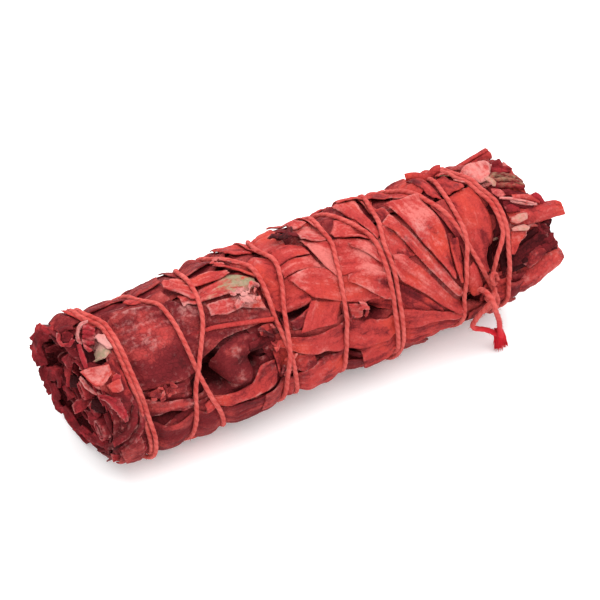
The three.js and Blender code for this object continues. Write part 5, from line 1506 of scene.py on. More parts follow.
# Torn bits of the right end, which lie on the outside of the bundle.
RIGHT_BITS = [
    # A near-black backing sheet deep under the right end's torn bits: painted shade in the gaps between them.
    torn([(505, 196), (525, 196), (543, 202), (549, 212)], [(512, 262), (528, 262), (541, 256), (549, 242)],
         radius=12.2, dye=-0.05, bloom=0.0, crumple=0.6, rim=0.1),
    torn([(548, 218), (552, 218.5), (551, 223)], [(541, 222), (543, 227), (548, 228)], radius=14.2,
         dye=0.12),
    torn([(547, 225), (551, 226.5), (549, 232)], [(540, 229), (541, 233), (545, 234)], radius=14.4,
         dye=0.20),
    torn([(546, 232), (553, 233), (554, 239)], [(539, 238), (542, 243), (549, 243)], radius=14.5, dye=0.26,
         rim=0.6),
    torn([(551, 239), (558, 240), (557, 244)], [(545, 245), (549, 249), (555, 246)], radius=14.6, dye=0.24,
         rim=0.6),
    torn([(536, 243), (544, 240), (551, 243)], [(536, 249), (544, 251), (550, 251)], radius=14.4, dye=0.30,
         crumple=0.6),
    torn([(492, 163), (499, 160), (503, 167), (509, 167), (512, 169)],
         [(491, 172), (499, 175), (505, 175), (510, 173)], radius=14.2, dye=0.50, ridges=0.5,
         ridge_count=2),
    torn([(486, 181), (492, 173), (502, 173), (515, 175), (522, 180)],
         [(487, 184), (494, 178), (504, 178), (514, 179), (523, 183)], radius=14.4, dye=0.46, green=0.42,
         crumple=0.6),
    torn([(490, 180), (502, 177), (514, 178), (524, 184)], [(492, 184), (503, 183), (514, 184), (525, 189)],
         radius=14.9, dye=0.40, green=0.40, ridges=0.3, ridge_count=1, crumple=0.6),
    torn([(492, 184), (503, 182), (513, 183), (523, 187)], [(494, 189), (505, 188), (514, 189), (524, 191)],
         radius=15.2, dye=0.42, green=0.30, ridges=0.3, ridge_count=1, crumple=0.6),
    torn([(484, 178), (488, 176), (493, 179), (496, 182)],
         [(486, 181), (490, 184), (493, 187), (495.5, 186.5)], radius=16.3, dye=0.95, bloom=0.8, green=0.5,
         whole=True),
    torn([(491, 189), (500, 188.5), (506, 194.5)], [(492, 194), (496, 196), (501, 198)], radius=15.8,
         dye=0.78, bloom=0.2),
    torn([(500, 191), (509, 189.5), (520, 192), (528, 193)],
         [(502, 196), (511, 196), (520, 198), (529, 199)], radius=15.0, dye=0.34, crumple=0.6),
    torn([(511, 195), (521, 194.5), (530, 195), (538, 201)],
         [(512, 200), (522, 200), (532, 202), (540, 204)], radius=15.2, dye=0.70, ridges=0.4, ridge_count=2,
         rim=0.7, whole=True),
    torn([(527, 194), (531, 194.5), (536, 192), (541, 197), (545, 202)],
         [(529, 199), (532, 200), (536, 201), (540, 203), (544, 205)], radius=15.0, dye=0.62, rim=0.7),
    torn([(499, 197.5), (509, 198), (520, 200), (534, 203)],
         [(499, 199), (509, 199.8), (520, 201.5), (534, 204)], radius=16.1, dye=0.80, bloom=0.6, rim=0.9,
         curl=0.5, whole=True),
    torn([(510, 200.5), (519, 202.5), (527, 203.5), (537, 203)],
         [(510, 202), (519, 204), (527, 205), (537, 205)], radius=16.0, dye=0.80, bloom=0.8, green=0.3,
         rim=0.9, whole=True),
    torn([(502, 201), (512, 203), (524, 205), (534, 206)], [(503, 206), (513, 207), (524, 209), (531, 210)],
         radius=15.0, dye=0.32, crumple=0.5),
    torn([(503, 206), (512, 205), (519, 208)], [(506, 212), (514, 212), (520, 212)], radius=15.2, dye=0.45,
         bloom=0.3, rim=0.7),
    torn([(506, 212), (519, 207), (531, 204.5), (545, 202), (556, 200), (560.5, 202)],
         [(511, 224), (519, 225.5), (531, 223.5), (545, 220), (555, 216.5), (565, 214)], radius=14.6,
         dye=0.80, fade=-0.18, bloom=0.5, dome=1.7, curl=0.0, facing=0.2, crumple=0.12, ridges=0.12,
         rim=0.2, whole=True),
    torn([(511, 218), (519, 214), (527, 213)], [(511, 222), (517, 224), (527, 219)], radius=16.4, dye=0.98,
         bloom=0.9, green=0.45, dome=0.8, facing=0.2, crumple=0.1, rim=0.1, whole=True),
    torn([(511, 232), (519, 230), (526, 232)], [(511, 254), (514, 254), (517, 247)], radius=15.8, dye=0.76,
         bloom=0.4, facing=0.3, whole=True, curl=0.5),
    torn([(511, 228.5), (517, 226), (524, 224.5), (530, 227)],
         [(512, 231), (516, 231), (523, 231), (528, 230)], radius=16.4, dye=0.96, bloom=0.9, green=0.5,
         facing=0.3, curl=0.6, whole=True),
    torn([(516, 247), (522, 240), (527, 236)], [(519, 258), (525, 254), (530, 246)], radius=13.8, dye=0.22,
         crumple=0.6),
    torn([(520, 262), (526, 251), (532, 244), (538, 243)], [(530, 268), (536, 262), (542, 257), (546, 251)],
         radius=14.6, dye=0.48, bloom=0.5, dome=0.6, crumple=0.5, whole=True),
    torn([(510, 272), (520, 264), (531, 256), (543, 248.5), (555, 245), (561, 249.5), (563.2, 255)],
         [(510, 293), (524, 291), (537, 283), (548, 273), (556, 267), (561, 262.5), (563.2, 257)],
         radius=14.0, dye=0.60, bloom=0.6, dome=2.4, facing=0.45, curl=0.0, crumple=0.2, whole=True),
    # A near-black bit in a gap: painted shade.
    torn([(521, 260), (524, 257), (527, 258)], [(522, 263), (525, 262), (527, 261)], radius=15.6, dye=-0.2,
         bloom=0.0, rim=0.0),
]


def fan_bits(chance):
    """Dark torn edges under the rolled leaf: strips along arcs about one spot of the view, each further out
    than the last."""
    bits = []
    centre = np.array([547.0, 224.0])
    for ring in range(7):
        turn = np.radians(np.linspace(chance.uniform(185, 205), chance.uniform(70, 95), 7))
        ray = np.stack([np.cos(turn), np.sin(turn)], -1)
        reach = 4.0 + 2.5 * ring + chance.uniform(-0.5, 0.5, 7)[:, None]
        # The strong pale rims of these bits are painted highlight on the lit edges of the torn teeth.
        bits.append(torn(
            centre + (reach + 1.6) * ray, centre + (reach - 1.4) * ray, radius=14.3 - 0.2 * ring,
            dye=chance.uniform(0.0, 0.30), bloom=0.1, crumple=0.35, rim=1.0, curl=0.6,
            facing=chance.uniform(0.3, 0.6)))
    return bits


def add_core(shells):
    """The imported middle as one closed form: rings along x with the core's radius, drawn in to a point at
    both ends."""
    xs = np.linspace(CORE_LEFT, CORE_RIGHT, CORE_ROWS)
    x, angle = np.meshgrid(xs, np.linspace(0, 360, CORE_SIDES, endpoint=False), indexing="ij")
    ramp = smooth_step(np.minimum(x - CORE_LEFT, CORE_RIGHT - x) / CORE_RAMP + 0.15)
    radius = (core_radius(x, angle) - 0.3) * (0.5 + 0.5 * ramp)
    middle = bundle_so_far().pressed(x, angle, radius)
    centres = np.stack([xs, 0 * xs, 0 * xs + AXIS_HEIGHT], -1)
    points = with_poles(middle, centres)
    index = np.arange(len(points) * CORE_SIDES).reshape(-1, CORE_SIDES)
    ahead = np.roll(index, -1, 1)
    quads = np.stack([index[:-1], ahead[:-1], ahead[1:], index[1:]], -1).reshape(-1, 4)
    # The core shows only at the bottom of the deep hollows; its near-black dye is painted shade.
    tint = tint_of(points.shape[:2], 0.06, 0.0)
    uv = np.zeros(points.shape[:2] + (2,))
    shells.add(points, quads, uv, tint)


def group_sockets(tree, inputs, outputs):
    """Makes the named sockets of a node group."""
    for name, kind, value in inputs:
        socket = tree.interface.new_socket(name, in_out="INPUT", socket_type=kind)
        if value is not None:
            socket.default_value = value
    for name, kind in outputs:
        tree.interface.new_socket(name, in_out="OUTPUT", socket_type=kind)


def arrange(tree):
    """Places the nodes in columns, each to the right of all that feed it."""
    column = {node.name: 0 for node in tree.nodes}
    for _ in tree.nodes:
        for link in tree.links:
            column[link.to_node.name] = max(column[link.to_node.name], column[link.from_node.name] + 1)
    filled = {}
    for name, number in column.items():
        filled[number] = filled.get(number, 0) + 1
        tree.nodes[name].location = (NODE_SPACING * number, -NODE_SPACING * filled[number])


def math_node(tree, operation, first, second, clamp=False):
    """A Math node: operation of two values or sockets."""
    node = tree.nodes.new("ShaderNodeMath")
    node.operation = operation
    node.use_clamp = clamp
    for k, value in enumerate((first, second)):
        if isinstance(value, (int, float)):
            node.inputs[k].default_value = value
        else:
            tree.links.new(value, node.inputs[k])
    return node.outputs[0]


def mix_node(tree, share, first, second):
    """A colour Mix node."""
    node = tree.nodes.new("ShaderNodeMix")
    node.data_type = "RGBA"
    node.clamp_factor = True
    for socket, value in ((node.inputs[0], share), (node.inputs[6], first), (node.inputs[7], second)):
        if isinstance(value, (int, float, tuple)):
            socket.default_value = value
        else:
            tree.links.new(value, socket)
    return node.outputs[2]


def range_node(tree, value, low, high):
    """Maps a value smoothly from low..high to 0..1."""
    node = tree.nodes.new("ShaderNodeMapRange")
    node.interpolation_type = "SMOOTHSTEP"
    tree.links.new(value, node.inputs["Value"])
    for name, limit in (("From Min", low), ("From Max", high)):
        if isinstance(limit, (int, float)):
            node.inputs[name].default_value = limit
        else:
            tree.links.new(limit, node.inputs[name])
    return node.outputs["Result"]


def noise_node(tree, vector, scale, detail, roughness=0.5):
    """A Noise Texture on the given vector."""
    node = tree.nodes.new("ShaderNodeTexNoise")
    node.inputs["Scale"].default_value = scale
    node.inputs["Detail"].default_value = detail
    node.inputs["Roughness"].default_value = roughness
    tree.links.new(vector, node.inputs["Vector"])
    return node.outputs["Fac"]


def dyed_leaf_group():
    """Node group: how dye, bloom and veins colour a dried sage leaf, and the crinkles that raise it, with
    painted shade in their sunken lines and furrows and painted light on their ridges.
    """
    tree = bpy.data.node_groups.get("Dyed leaf")
    if tree:
        return tree
    tree = bpy.data.node_groups.new("Dyed leaf", "ShaderNodeTree")
    colour = "NodeSocketColor"
    number = "NodeSocketFloat"
    group_sockets(
        tree,
        [("Position", "NodeSocketVector", None), ("Leaf", "NodeSocketVector", None), ("Tint", colour, None),
         ("Shadow", colour, None), ("Deep", colour, None), ("Bright", colour, None), ("Light", colour, None),
         ("Bloom", colour, None), ("Undyed", colour, None), ("Warm", colour, None), ("Mottle", number, 0.5),
         ("Veins", number, 0.5)],
        [("Color", colour), ("Roughness", number), ("Height", number)])
    given = tree.nodes.new("NodeGroupInput")
    result = tree.nodes.new("NodeGroupOutput")
    position = given.outputs["Position"]
    split = tree.nodes.new("ShaderNodeSeparateColor")
    tree.links.new(given.outputs["Tint"], split.inputs[0])
    wide = noise_node(tree, position, 260, 3)
    medium = noise_node(tree, position, 900, 4, 0.6)
    fine = noise_node(tree, position, 3600, 3, 0.6)
    cell = tree.nodes.new("ShaderNodeTexVoronoi")
    cell.feature = "DISTANCE_TO_EDGE"
    cell.inputs["Scale"].default_value = 1150
    tree.links.new(position, cell.inputs["Vector"])
    leaf_way = tree.nodes.new("ShaderNodeSeparateXYZ")
    tree.links.new(given.outputs["Leaf"], leaf_way.inputs[0])
    across = math_node(tree, "ABSOLUTE", leaf_way.outputs["Y"], 0)
    slant = math_node(tree, "MULTIPLY", across, 0.8)
    row = math_node(tree, "SUBTRACT", leaf_way.outputs["X"], slant)
    bend = math_node(tree, "MULTIPLY", wide, 2.2)
    row = math_node(tree, "ADD", row, bend)
    row = math_node(tree, "PINGPONG", row, 1.15)
    side_vein = math_node(tree, "SUBTRACT", 1.0, range_node(tree, row, 0.0, 0.16))
    middle_vein = math_node(tree, "SUBTRACT", 1.0, range_node(tree, across, 0.0, 0.3))
    vein = math_node(tree, "MAXIMUM", side_vein, middle_vein)
    vein = math_node(tree, "MULTIPLY", vein, given.outputs["Veins"])
    mottle = math_node(tree, "SUBTRACT", wide, 0.5)
    mottle = math_node(tree, "MULTIPLY", mottle, 1.3)
    speck = math_node(tree, "SUBTRACT", medium, 0.5)
    speck = math_node(tree, "MULTIPLY", speck, 0.8)
    stretch = tree.nodes.new("ShaderNodeCombineXYZ")
    tree.links.new(math_node(tree, "MULTIPLY", leaf_way.outputs["X"], 0.32), stretch.inputs["X"])
    tree.links.new(math_node(tree, "MULTIPLY", leaf_way.outputs["Y"], 1.5), stretch.inputs["Y"])
    tree.links.new(math_node(tree, "MULTIPLY", wide, 5.0), stretch.inputs["Z"])
    grain = noise_node(tree, stretch.outputs["Vector"], 1.0, 4, 0.6)
    # The lengthwise grain raises the bump and also shifts the dye, lighter on its ridges and darker in its
    # furrows: painted light and shade. It also streaks the undyed green.
    grain_streak_and_painted_shading = math_node(tree, "MULTIPLY", math_node(tree, "SUBTRACT", grain, 0.5), 1.1)
    uneven = math_node(tree, "ADD", mottle, speck)
    uneven = math_node(tree, "ADD", uneven, grain_streak_and_painted_shading)
    uneven = math_node(tree, "MULTIPLY", uneven, given.outputs["Mottle"])
    dye = math_node(tree, "ADD", split.outputs["Red"], uneven)
    net = range_node(tree, cell.outputs["Distance"], 0.0, 0.12)
    # The sunken lines of the crinkle net are dyed darker: painted shade.
    net_painted_shade = math_node(tree, "MULTIPLY", math_node(tree, "SUBTRACT", 1.0, net), 0.06)
    dye = math_node(tree, "SUBTRACT", dye, net_painted_shade)
    dye = math_node(tree, "ADD", dye, math_node(tree, "MULTIPLY", vein, 0.10))
    low = range_node(tree, dye, 0.0, 0.38)
    mid = range_node(tree, dye, 0.34, 0.72)
    high = range_node(tree, dye, 0.70, 1.05)
    paint = mix_node(tree, low, given.outputs["Shadow"], given.outputs["Deep"])
    paint = mix_node(tree, mid, paint, given.outputs["Bright"])
    tone = noise_node(tree, position, 130, 2)
    warmth = math_node(tree, "MULTIPLY", range_node(tree, tone, 0.46, 0.72), mid)
    paint = mix_node(tree, warmth, paint, given.outputs["Warm"])
    paint = mix_node(tree, high, paint, given.outputs["Light"])
    streaks = math_node(tree, "MULTIPLY", math_node(tree, "ADD", speck, grain_streak_and_painted_shading), 2.2)
    green_noise = math_node(tree, "MULTIPLY", split.outputs["Blue"], math_node(tree, "ADD", streaks, 1.0))
    green = range_node(tree, green_noise, 0.25, 0.85)
    paint = mix_node(tree, green, paint, given.outputs["Undyed"])
    flake = noise_node(tree, position, 820, 5, 0.62)
    flake = math_node(tree, "ADD", math_node(tree, "MULTIPLY", flake, 0.75),
                      math_node(tree, "MULTIPLY", grain, 0.25))
    reach = math_node(tree, "MULTIPLY", split.outputs["Green"], 0.34)
    start = math_node(tree, "SUBTRACT", 0.69, reach)
    stop = math_node(tree, "ADD", start, 0.24)
    bloom = range_node(tree, flake, start, stop)
    bloom = math_node(tree, "ADD", math_node(tree, "MULTIPLY", bloom, 0.62), 0.02)
    bloom = math_node(tree, "MULTIPLY", bloom, split.outputs["Green"], True)
    paint = mix_node(tree, bloom, paint, given.outputs["Bloom"])
    height = math_node(tree, "MULTIPLY", net, 0.35)
    height = math_node(tree, "ADD", height, math_node(tree, "MULTIPLY", medium, 0.9))
    height = math_node(tree, "ADD", height, math_node(tree, "MULTIPLY", fine, 0.3))
    height = math_node(tree, "ADD", height, math_node(tree, "MULTIPLY", grain, 1.3))
    height = math_node(tree, "ADD", height, math_node(tree, "MULTIPLY", vein, 0.3))
    rough = math_node(tree, "ADD", 0.66, math_node(tree, "MULTIPLY", bloom, 0.2))
    tree.links.new(paint, result.inputs["Color"])
    tree.links.new(rough, result.inputs["Roughness"])
    tree.links.new(height, result.inputs["Height"])
    arrange(tree)
    return tree


def leaf_material(slot, torn=False):
    """The dried leaf material of one of the record's slots; torn edges are crimson."""
    name = ("Torn " if torn else "Dried ") + slot.replace("_", " ")
    material = bpy.data.materials.get(name)
    if material:
        return material
    colours = bpy.context.scene.sage_colours
    material = bpy.data.materials.new(name)
    material.use_nodes = True
    tree = material.node_tree
    shader = tree.nodes["Principled BSDF"]
    shader.inputs["Specular IOR Level"].default_value = 0.05
    coordinates = tree.nodes.new("ShaderNodeTexCoord")
    leaf_map = tree.nodes.new("ShaderNodeUVMap")
    leaf_map.uv_map = "leaf"
    tint = tree.nodes.new("ShaderNodeAttribute")
    tint.attribute_name = "tint"
    group = tree.nodes.new("ShaderNodeGroup")
    group.node_tree = dyed_leaf_group()
    bright, warm = colours.bright, colours.warm
    if torn:
        bright, warm = colours.crimson, colours.bright
    elif slot == "leaf_dark":
        bright, warm = colours.maroon, colours.bright
    for name in ("Shadow", "Deep", "Light", "Bloom", "Undyed"):
        group.inputs[name].default_value = (*getattr(colours, name.lower()), 1)
    group.inputs["Bright"].default_value = (*bright, 1)
    group.inputs["Warm"].default_value = (*warm, 1)
    for name, value in LEAF_FINISHES[slot].items():
        group.inputs[name].default_value = value
    tree.links.new(coordinates.outputs["Object"], group.inputs["Position"])
    tree.links.new(leaf_map.outputs["UV"], group.inputs["Leaf"])
    tree.links.new(tint.outputs["Color"], group.inputs["Tint"])
    bump = tree.nodes.new("ShaderNodeBump")
    bump.inputs["Strength"].default_value = 0.6
    bump.inputs["Distance"].default_value = 0.00035
    tree.links.new(group.outputs["Height"], bump.inputs["Height"])
    tree.links.new(group.outputs["Color"], shader.inputs["Base Color"])
    tree.links.new(group.outputs["Roughness"], shader.inputs["Roughness"])
    tree.links.new(bump.outputs["Normal"], shader.inputs["Normal"])
    arrange(tree)
    return material


def string_material():
    """Twisted cotton: fibres that run round the twist in paler and darker patches, painted paler on the crowns
    of the plies and darker between them, with a soft sheen.
    """
    material = bpy.data.materials.get("Dyed cotton string")
    if material:
        return material
    colours = bpy.context.scene.sage_colours
    material = bpy.data.materials.new("Dyed cotton string")
    material.use_nodes = True
    tree = material.node_tree
    shader = tree.nodes["Principled BSDF"]
    shader.inputs["Specular IOR Level"].default_value = 0.05
    shader.inputs["Sheen Weight"].default_value = 0.05
    shader.inputs["Sheen Roughness"].default_value = 0.5
    shader.inputs["Roughness"].default_value = 0.85
    along = tree.nodes.new("ShaderNodeUVMap")
    along.uv_map = "leaf"
    mapping = tree.nodes.new("ShaderNodeMapping")
    mapping.inputs["Rotation"].default_value = (0, 0, 0.9)
    mapping.inputs["Scale"].default_value = (1.2, 9, 1)
    tree.links.new(along.outputs["UV"], mapping.inputs["Vector"])
    coordinates = tree.nodes.new("ShaderNodeTexCoord")
    fibre = noise_node(tree, mapping.outputs["Vector"], 3.0, 4, 0.65)
    patchy = noise_node(tree, coordinates.outputs["Object"], 320, 2)
    fuzz = noise_node(tree, coordinates.outputs["Object"], 5200, 2)
    tint = tree.nodes.new("ShaderNodeAttribute")
    tint.attribute_name = "tint"
    split = tree.nodes.new("ShaderNodeSeparateColor")
    tree.links.new(tint.outputs["Color"], split.inputs[0])
    share = math_node(tree, "ADD", math_node(tree, "MULTIPLY", fibre, 0.8),
                      math_node(tree, "MULTIPLY", patchy, 0.7))
    # Painted light and shade: the crowns of the plies are paler, the grooves between them darker.
    share = math_node(tree, "ADD", share, math_node(tree, "MULTIPLY", split.outputs["Red"], 0.25))
    share = range_node(tree, share, 0.55, 1.25)
    paint = mix_node(tree, share, (*colours.string, 1), (*colours.string_pale, 1))
    paint = mix_node(tree, split.outputs["Green"], paint, (*colours.string_end, 1))
    height = math_node(tree, "ADD", fibre, math_node(tree, "MULTIPLY", fuzz, 0.5))
    bump = tree.nodes.new("ShaderNodeBump")
    bump.inputs["Strength"].default_value = 0.7
    bump.inputs["Distance"].default_value = 0.00025
    tree.links.new(height, bump.inputs["Height"])
    tree.links.new(paint, shader.inputs["Base Color"])
    tree.links.new(bump.outputs["Normal"], shader.inputs["Normal"])
    arrange(tree)
    return material


def dress_frame():
    """Gives every node of the frame the finish of its slot."""
    slots = {part["node"]: part["material_slot"] for part in frame["record"]["subparts"]}
    for name, node in frame["nodes"].items():
        slot = slots.get(name, "leaf_red")
        material = string_material() if slot == "string" else leaf_material(slot)
        for place_for in node.material_slots:
            place_for.material = material


class SAGE_OT_inner_leaves(bpy.types.Operator):
    """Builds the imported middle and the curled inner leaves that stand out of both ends."""

    bl_idname = "sage.inner_leaves"
    bl_label = "Inner leaves"

    def execute(self, context):
        chance = np.random.default_rng(41)
        self.add_middle(context.scene.sage_sizes.hidden_cell / MM, chance)
        left = Shells()
        self.add_sheets(left, LEFT_END, -1, LEFT_SHEETS, chance)
        for roll in LEFT_ROLLS:
            roll_sheet(left, *roll)
        left.to_object("inner_leaves_left", leaf_material("leaf_dark", True))
        self.add_bits(LEFT_BITS, LEFT_END, -1, "left")
        right = Shells()
        self.add_sheets(right, RIGHT_END, 1, RIGHT_SHEETS, chance)
        for roll in RIGHT_ROLLS:
            roll_sheet(right, *roll)
        right.to_object("inner_leaves_right", leaf_material("leaf_red"))
        self.add_bits(fan_bits(chance) + RIGHT_BITS, RIGHT_END, 1, "right")
        return {"FINISHED"}

    def add_middle(self, cell, chance):
        """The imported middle: the core, narrow leaves all round it, and a wider leaf under each front one."""
        bundle = bundle_so_far()
        middle = Shells()
        add_core(middle)
        for k in range(STRIP_COUNT):
            x0 = chance.uniform(-44, 30)
            x1 = x0 + chance.uniform(8, 24)
            angle = 47 * k % 360 + chance.uniform(-15, 15)
            width = chance.uniform(3.0, 6.5)
            if x1 > 42 or not clear_of_hollows(x0, x1, angle, width / 2):
                continue
            start, end = (x0, angle), (x1, angle + chance.uniform(-12, 12))
            # The strips lie under the outer leaves and are dyed 0.12 darker than a leaf of their place:
            # painted shade.
            strip = random_leaf(
                chance, "inner_strip_%02d" % k, "leaf_dark", start, end, width,
                dye=usual_dye(x0 / 2 + x1 / 2) - 0.12 + chance.uniform(-0.1, 0.1), bloom=0.25, curl=(0.7, 0),
                crease=0.45, lift=(0.25, 0.25, 0.2, 0.2), sink=0.55, most=STRIP_MOST)
            drape_leaf(bundle, middle, strip, cell * 1.1, INNER_THICKNESS)
        for shape in FRONT_LEAVES:
            # Each wider leaf underneath is dyed 0.12 darker than the front leaf over it: painted shade.
            wide = {**shape, **UNDERLAYER, "dye": shape["dye"] - 0.12, "seed": shape["seed"] + 50}
            drape_leaf(bundle, middle, wide, cell * 0.9, INNER_THICKNESS)
        middle.to_object("inner_leaves_packed", leaf_material("leaf_dark"), ["inner_leaves"])

    def add_sheets(self, shells, end, side, sheets, chance):
        """The rings of curled inner leaves of one end, from the axis outwards."""
        for ring, radius in enumerate(sheets["rings"]):
            pieces = max(2, round(radius * 0.62))
            outer = int(ring >= sheets["outer"])
            for k in range(pieces):
                start = 360 * k / pieces + chance.uniform(-20, 20) + sheets["turn"] * ring
                end_sheet(
                    shells, end, side, radius + chance.uniform(-0.4, 0.4), start,
                    chance.uniform(0.9, 1.4) * 360 / pieces, chance.uniform(*sheets["depth"]),
                    chance.uniform(*sheets["stick"][outer]), sheets["wave"][outer],
                    chance.uniform(0.0, sheets["spiral"][outer]), chance.uniform(*sheets["flare"][outer]),
                    chance.uniform(*sheets["dye"]), chance.uniform(*sheets["bloom"]),
                    sheets["seed"] + 100 * ring + k, sheets["cell"])

    def add_bits(self, pieces, end, side, name):
        """An end's torn bits, the crimson ones as one object and the whole ones as another."""
        for whole, kind, slot in ((False, "torn_bits_", "leaf_dark"), (True, "end_leaves_", "leaf_pale")):
            bits = Shells()
            for number, piece in enumerate(pieces):
                if piece["whole"] == whole:
                    torn_piece(bits, end, side, piece, 700 + 10 * number)
            bits.to_object(kind + name, leaf_material(slot, not whole))


class SAGE_OT_hidden_leaves(bpy.types.Operator):
    """Builds the leaves on the underside and the back."""

    bl_idname = "sage.hidden_leaves"
    bl_label = "Leaves underneath and behind"

    def execute(self, context):
        bundle = bundle_so_far()
        sizes = context.scene.sage_sizes
        cell = sizes.hidden_cell / MM
        thickness = sizes.leaf_thickness / MM
        chance = np.random.default_rng(77)
        number = 0
        for right, left, turn in UNDER_LEAF_ROWS:
            for angle in UNDER_LEAF_ANGLES:
                number += 1
                name = "under_leaf_%02d" % number
                start, end = (right, angle + turn), (left, angle + turn + 5)
                shape = random_leaf(
                    chance, name, "leaf_dark", start, end, UNDER_LEAF_WIDTH, dye=chance.uniform(0.35, 0.6),
                    bloom=chance.uniform(0.3, 0.6), crease=0.5, lift=(0.4, 0.4, 0.3, 0.3), jag=(0.25, 0.25))
                shells = Shells()
                drape_leaf(bundle, shells, shape, cell, thickness)
                shells.to_object(name + "_dried", leaf_material("leaf_dark"), [name])
        for k, (x, angle) in enumerate(BACK_LEAF_SPOTS):
            name = "back_leaf_%02d" % (k + 1)
            slot = "leaf_red" if k % 2 else "leaf_dark"
            half = chance.uniform(11, 14)
            start, end = (x + half, angle), (x - half, angle + chance.uniform(-6, 6))
            shape = random_leaf(
                chance, name, slot, start, end, chance.uniform(9, 11.5), dye=0.62 if k % 2 else 0.45,
                bloom=0.45, crease=0.5, lift=(0.5, 0.5, 0.4, 0.4), jag=(0.2, 0.2))
            shells = Shells()
            drape_leaf(bundle, shells, shape, cell, thickness)
            shells.to_object(name + "_dried", leaf_material(slot), [name])
        return {"FINISHED"}


class SAGE_OT_front_leaves(bpy.types.Operator):
    """Builds every leaf that the front shows, in the order in which they lie over each other."""

    bl_idname = "sage.front_leaves"
    bl_label = "Front leaves"

    def execute(self, context):
        bundle = bundle_so_far()
        sizes = context.scene.sage_sizes
        for shape in FRONT_LEAVES:
            shells = Shells()
            drape_leaf(bundle, shells, shape, sizes.front_cell / MM, sizes.leaf_thickness / MM)
            node = shape["name"] if shape["name"] in frame["nodes"] else None
            shells.to_object(shape["name"] + "_dried", leaf_material(shape["slot"]),
                             [node] if node else ())
        for slot in ("leaf_pale", "leaf_dark"):
            shells = Shells()
            for shape in crumb_leaves(np.random.default_rng(19)):
                if shape["slot"] == slot:
                    drape_leaf(bundle, shells, shape, CRUMB_CELL, CRUMB_THICKNESS)
            shells.to_object("crumbs_" + slot, leaf_material(slot))
        return {"FINISHED"}


class SAGE_OT_stalks(bpy.types.Operator):
    """Builds the bright leaf stalk on the dark leaf and the short cut stalk near the knot."""

    bl_idname = "sage.stalks"
    bl_label = "Stalks"

    def execute(self, context):
        bundle = bundle_so_far()
        for name, route, radius, dye in STALKS:
            line, length = line_of(route, 60)
            x, angle = line[:, 0], line[:, 1]
            way = np.linspace(0, length, 60)
            taper = smooth_step(way / (0.5 * length)) if name == "red_stalk" else 1 + 0 * way
            beneath = look_up(gaussian_blur(spread(bundle.top, 0.4), 0.8), x, angle)
            centres = bundle.pressed(x, angle, beneath + radius * (1.5 * taper - 1.0))
            side, out = path_sides(centres)
            ring = 1 + 0.12 * noise(way[:, None] / 2, np.linspace(0, 4, 12)[None, :], 5, 2)
            ring = ring * radius * (0.5 + 0.5 * taper[:, None])
            tint = tint_of((60, 12), dye - 0.4 * (1 - taper[:, None]), 0.05, 0.0)
            shells = Shells()
            shells.add_tube(centres, side, out, ring, way, tint, 12)
            shells.to_object(name + "_dried", leaf_material("leaf_red"), [name])
        return {"FINISHED"}


class SAGE_OT_twine(bpy.types.Operator):
    """Builds the string's turns round the bundle, its knot and its two tails."""

    bl_idname = "sage.twine"
    bl_label = "String"

    def execute(self, context):
        sizes = context.scene.sage_sizes
        radius = sizes.string_diameter / MM / 2
        pitch = sizes.string_pitch / MM
        centres = self.winding(radius)
        turns = Shells()
        twine_tube(turns, centres, radius, pitch, False, 5)
        fibres(turns, centres, radius, WINDING_FIBRES, 8)
        turns.to_object("string_winding_twine", string_material(), ["string_winding"])
        knot = Shells()
        for route, frayed, seed in ((FIRST_TAIL, True, 21), (SECOND_TAIL, True, 22), (KNOT_BOW, False, 24)):
            tail = smooth_route(np.array(route), TAIL_STEP)
            tail[:, 2] = np.maximum(tail[:, 2], radius)
            twine_tube(knot, tail, radius * (1.15 if frayed else 0.85), pitch, frayed, seed)
            fibres(knot, tail, radius, TAIL_FIBRES, seed)
            if frayed:
                brush(knot, tail, radius, seed)
        knot.to_object("string_knot_twine", string_material(), ["string_knot"])
        return {"FINISHED"}

    def winding(self, radius):
        """The winding's middle line: laid half a turn at a time over the leaves and over what came before,
        then drawn tight a turn at a time."""
        bundle = bundle_so_far()
        x, angle = twine_path(TWINE_STEP)
        laid = np.zeros(len(x))
        half_turn = round(180 * MM_PER_DEGREE / TWINE_STEP)
        for first in range(0, len(x), half_turn):
            run = slice(first, min(first + half_turn, len(x)))
            done = max(0, first - half_turn)
            earlier = (x[:done], angle[:done], laid[:done]) if done else None
            least = least_radius(x[run], angle[run])
            laid[run] = settle_twine(bundle, x[run], angle[run], radius, least, earlier)
        for first in range(0, len(x), 2 * half_turn):
            stop = min(first + 2 * half_turn, len(x))
            run = slice(max(0, first - TIGHT_OVERLAP), min(first + 2 * half_turn + TIGHT_OVERLAP, len(x)))
            tight = drawn_tight(laid[run], TWINE_STEP, TIGHT_SLOPE)
            laid[first:stop] = tight[first - run.start:stop - run.start]
        centres = place(x, angle, laid)
        centres[:, 2] = np.maximum(centres[:, 2], radius)
        return centres


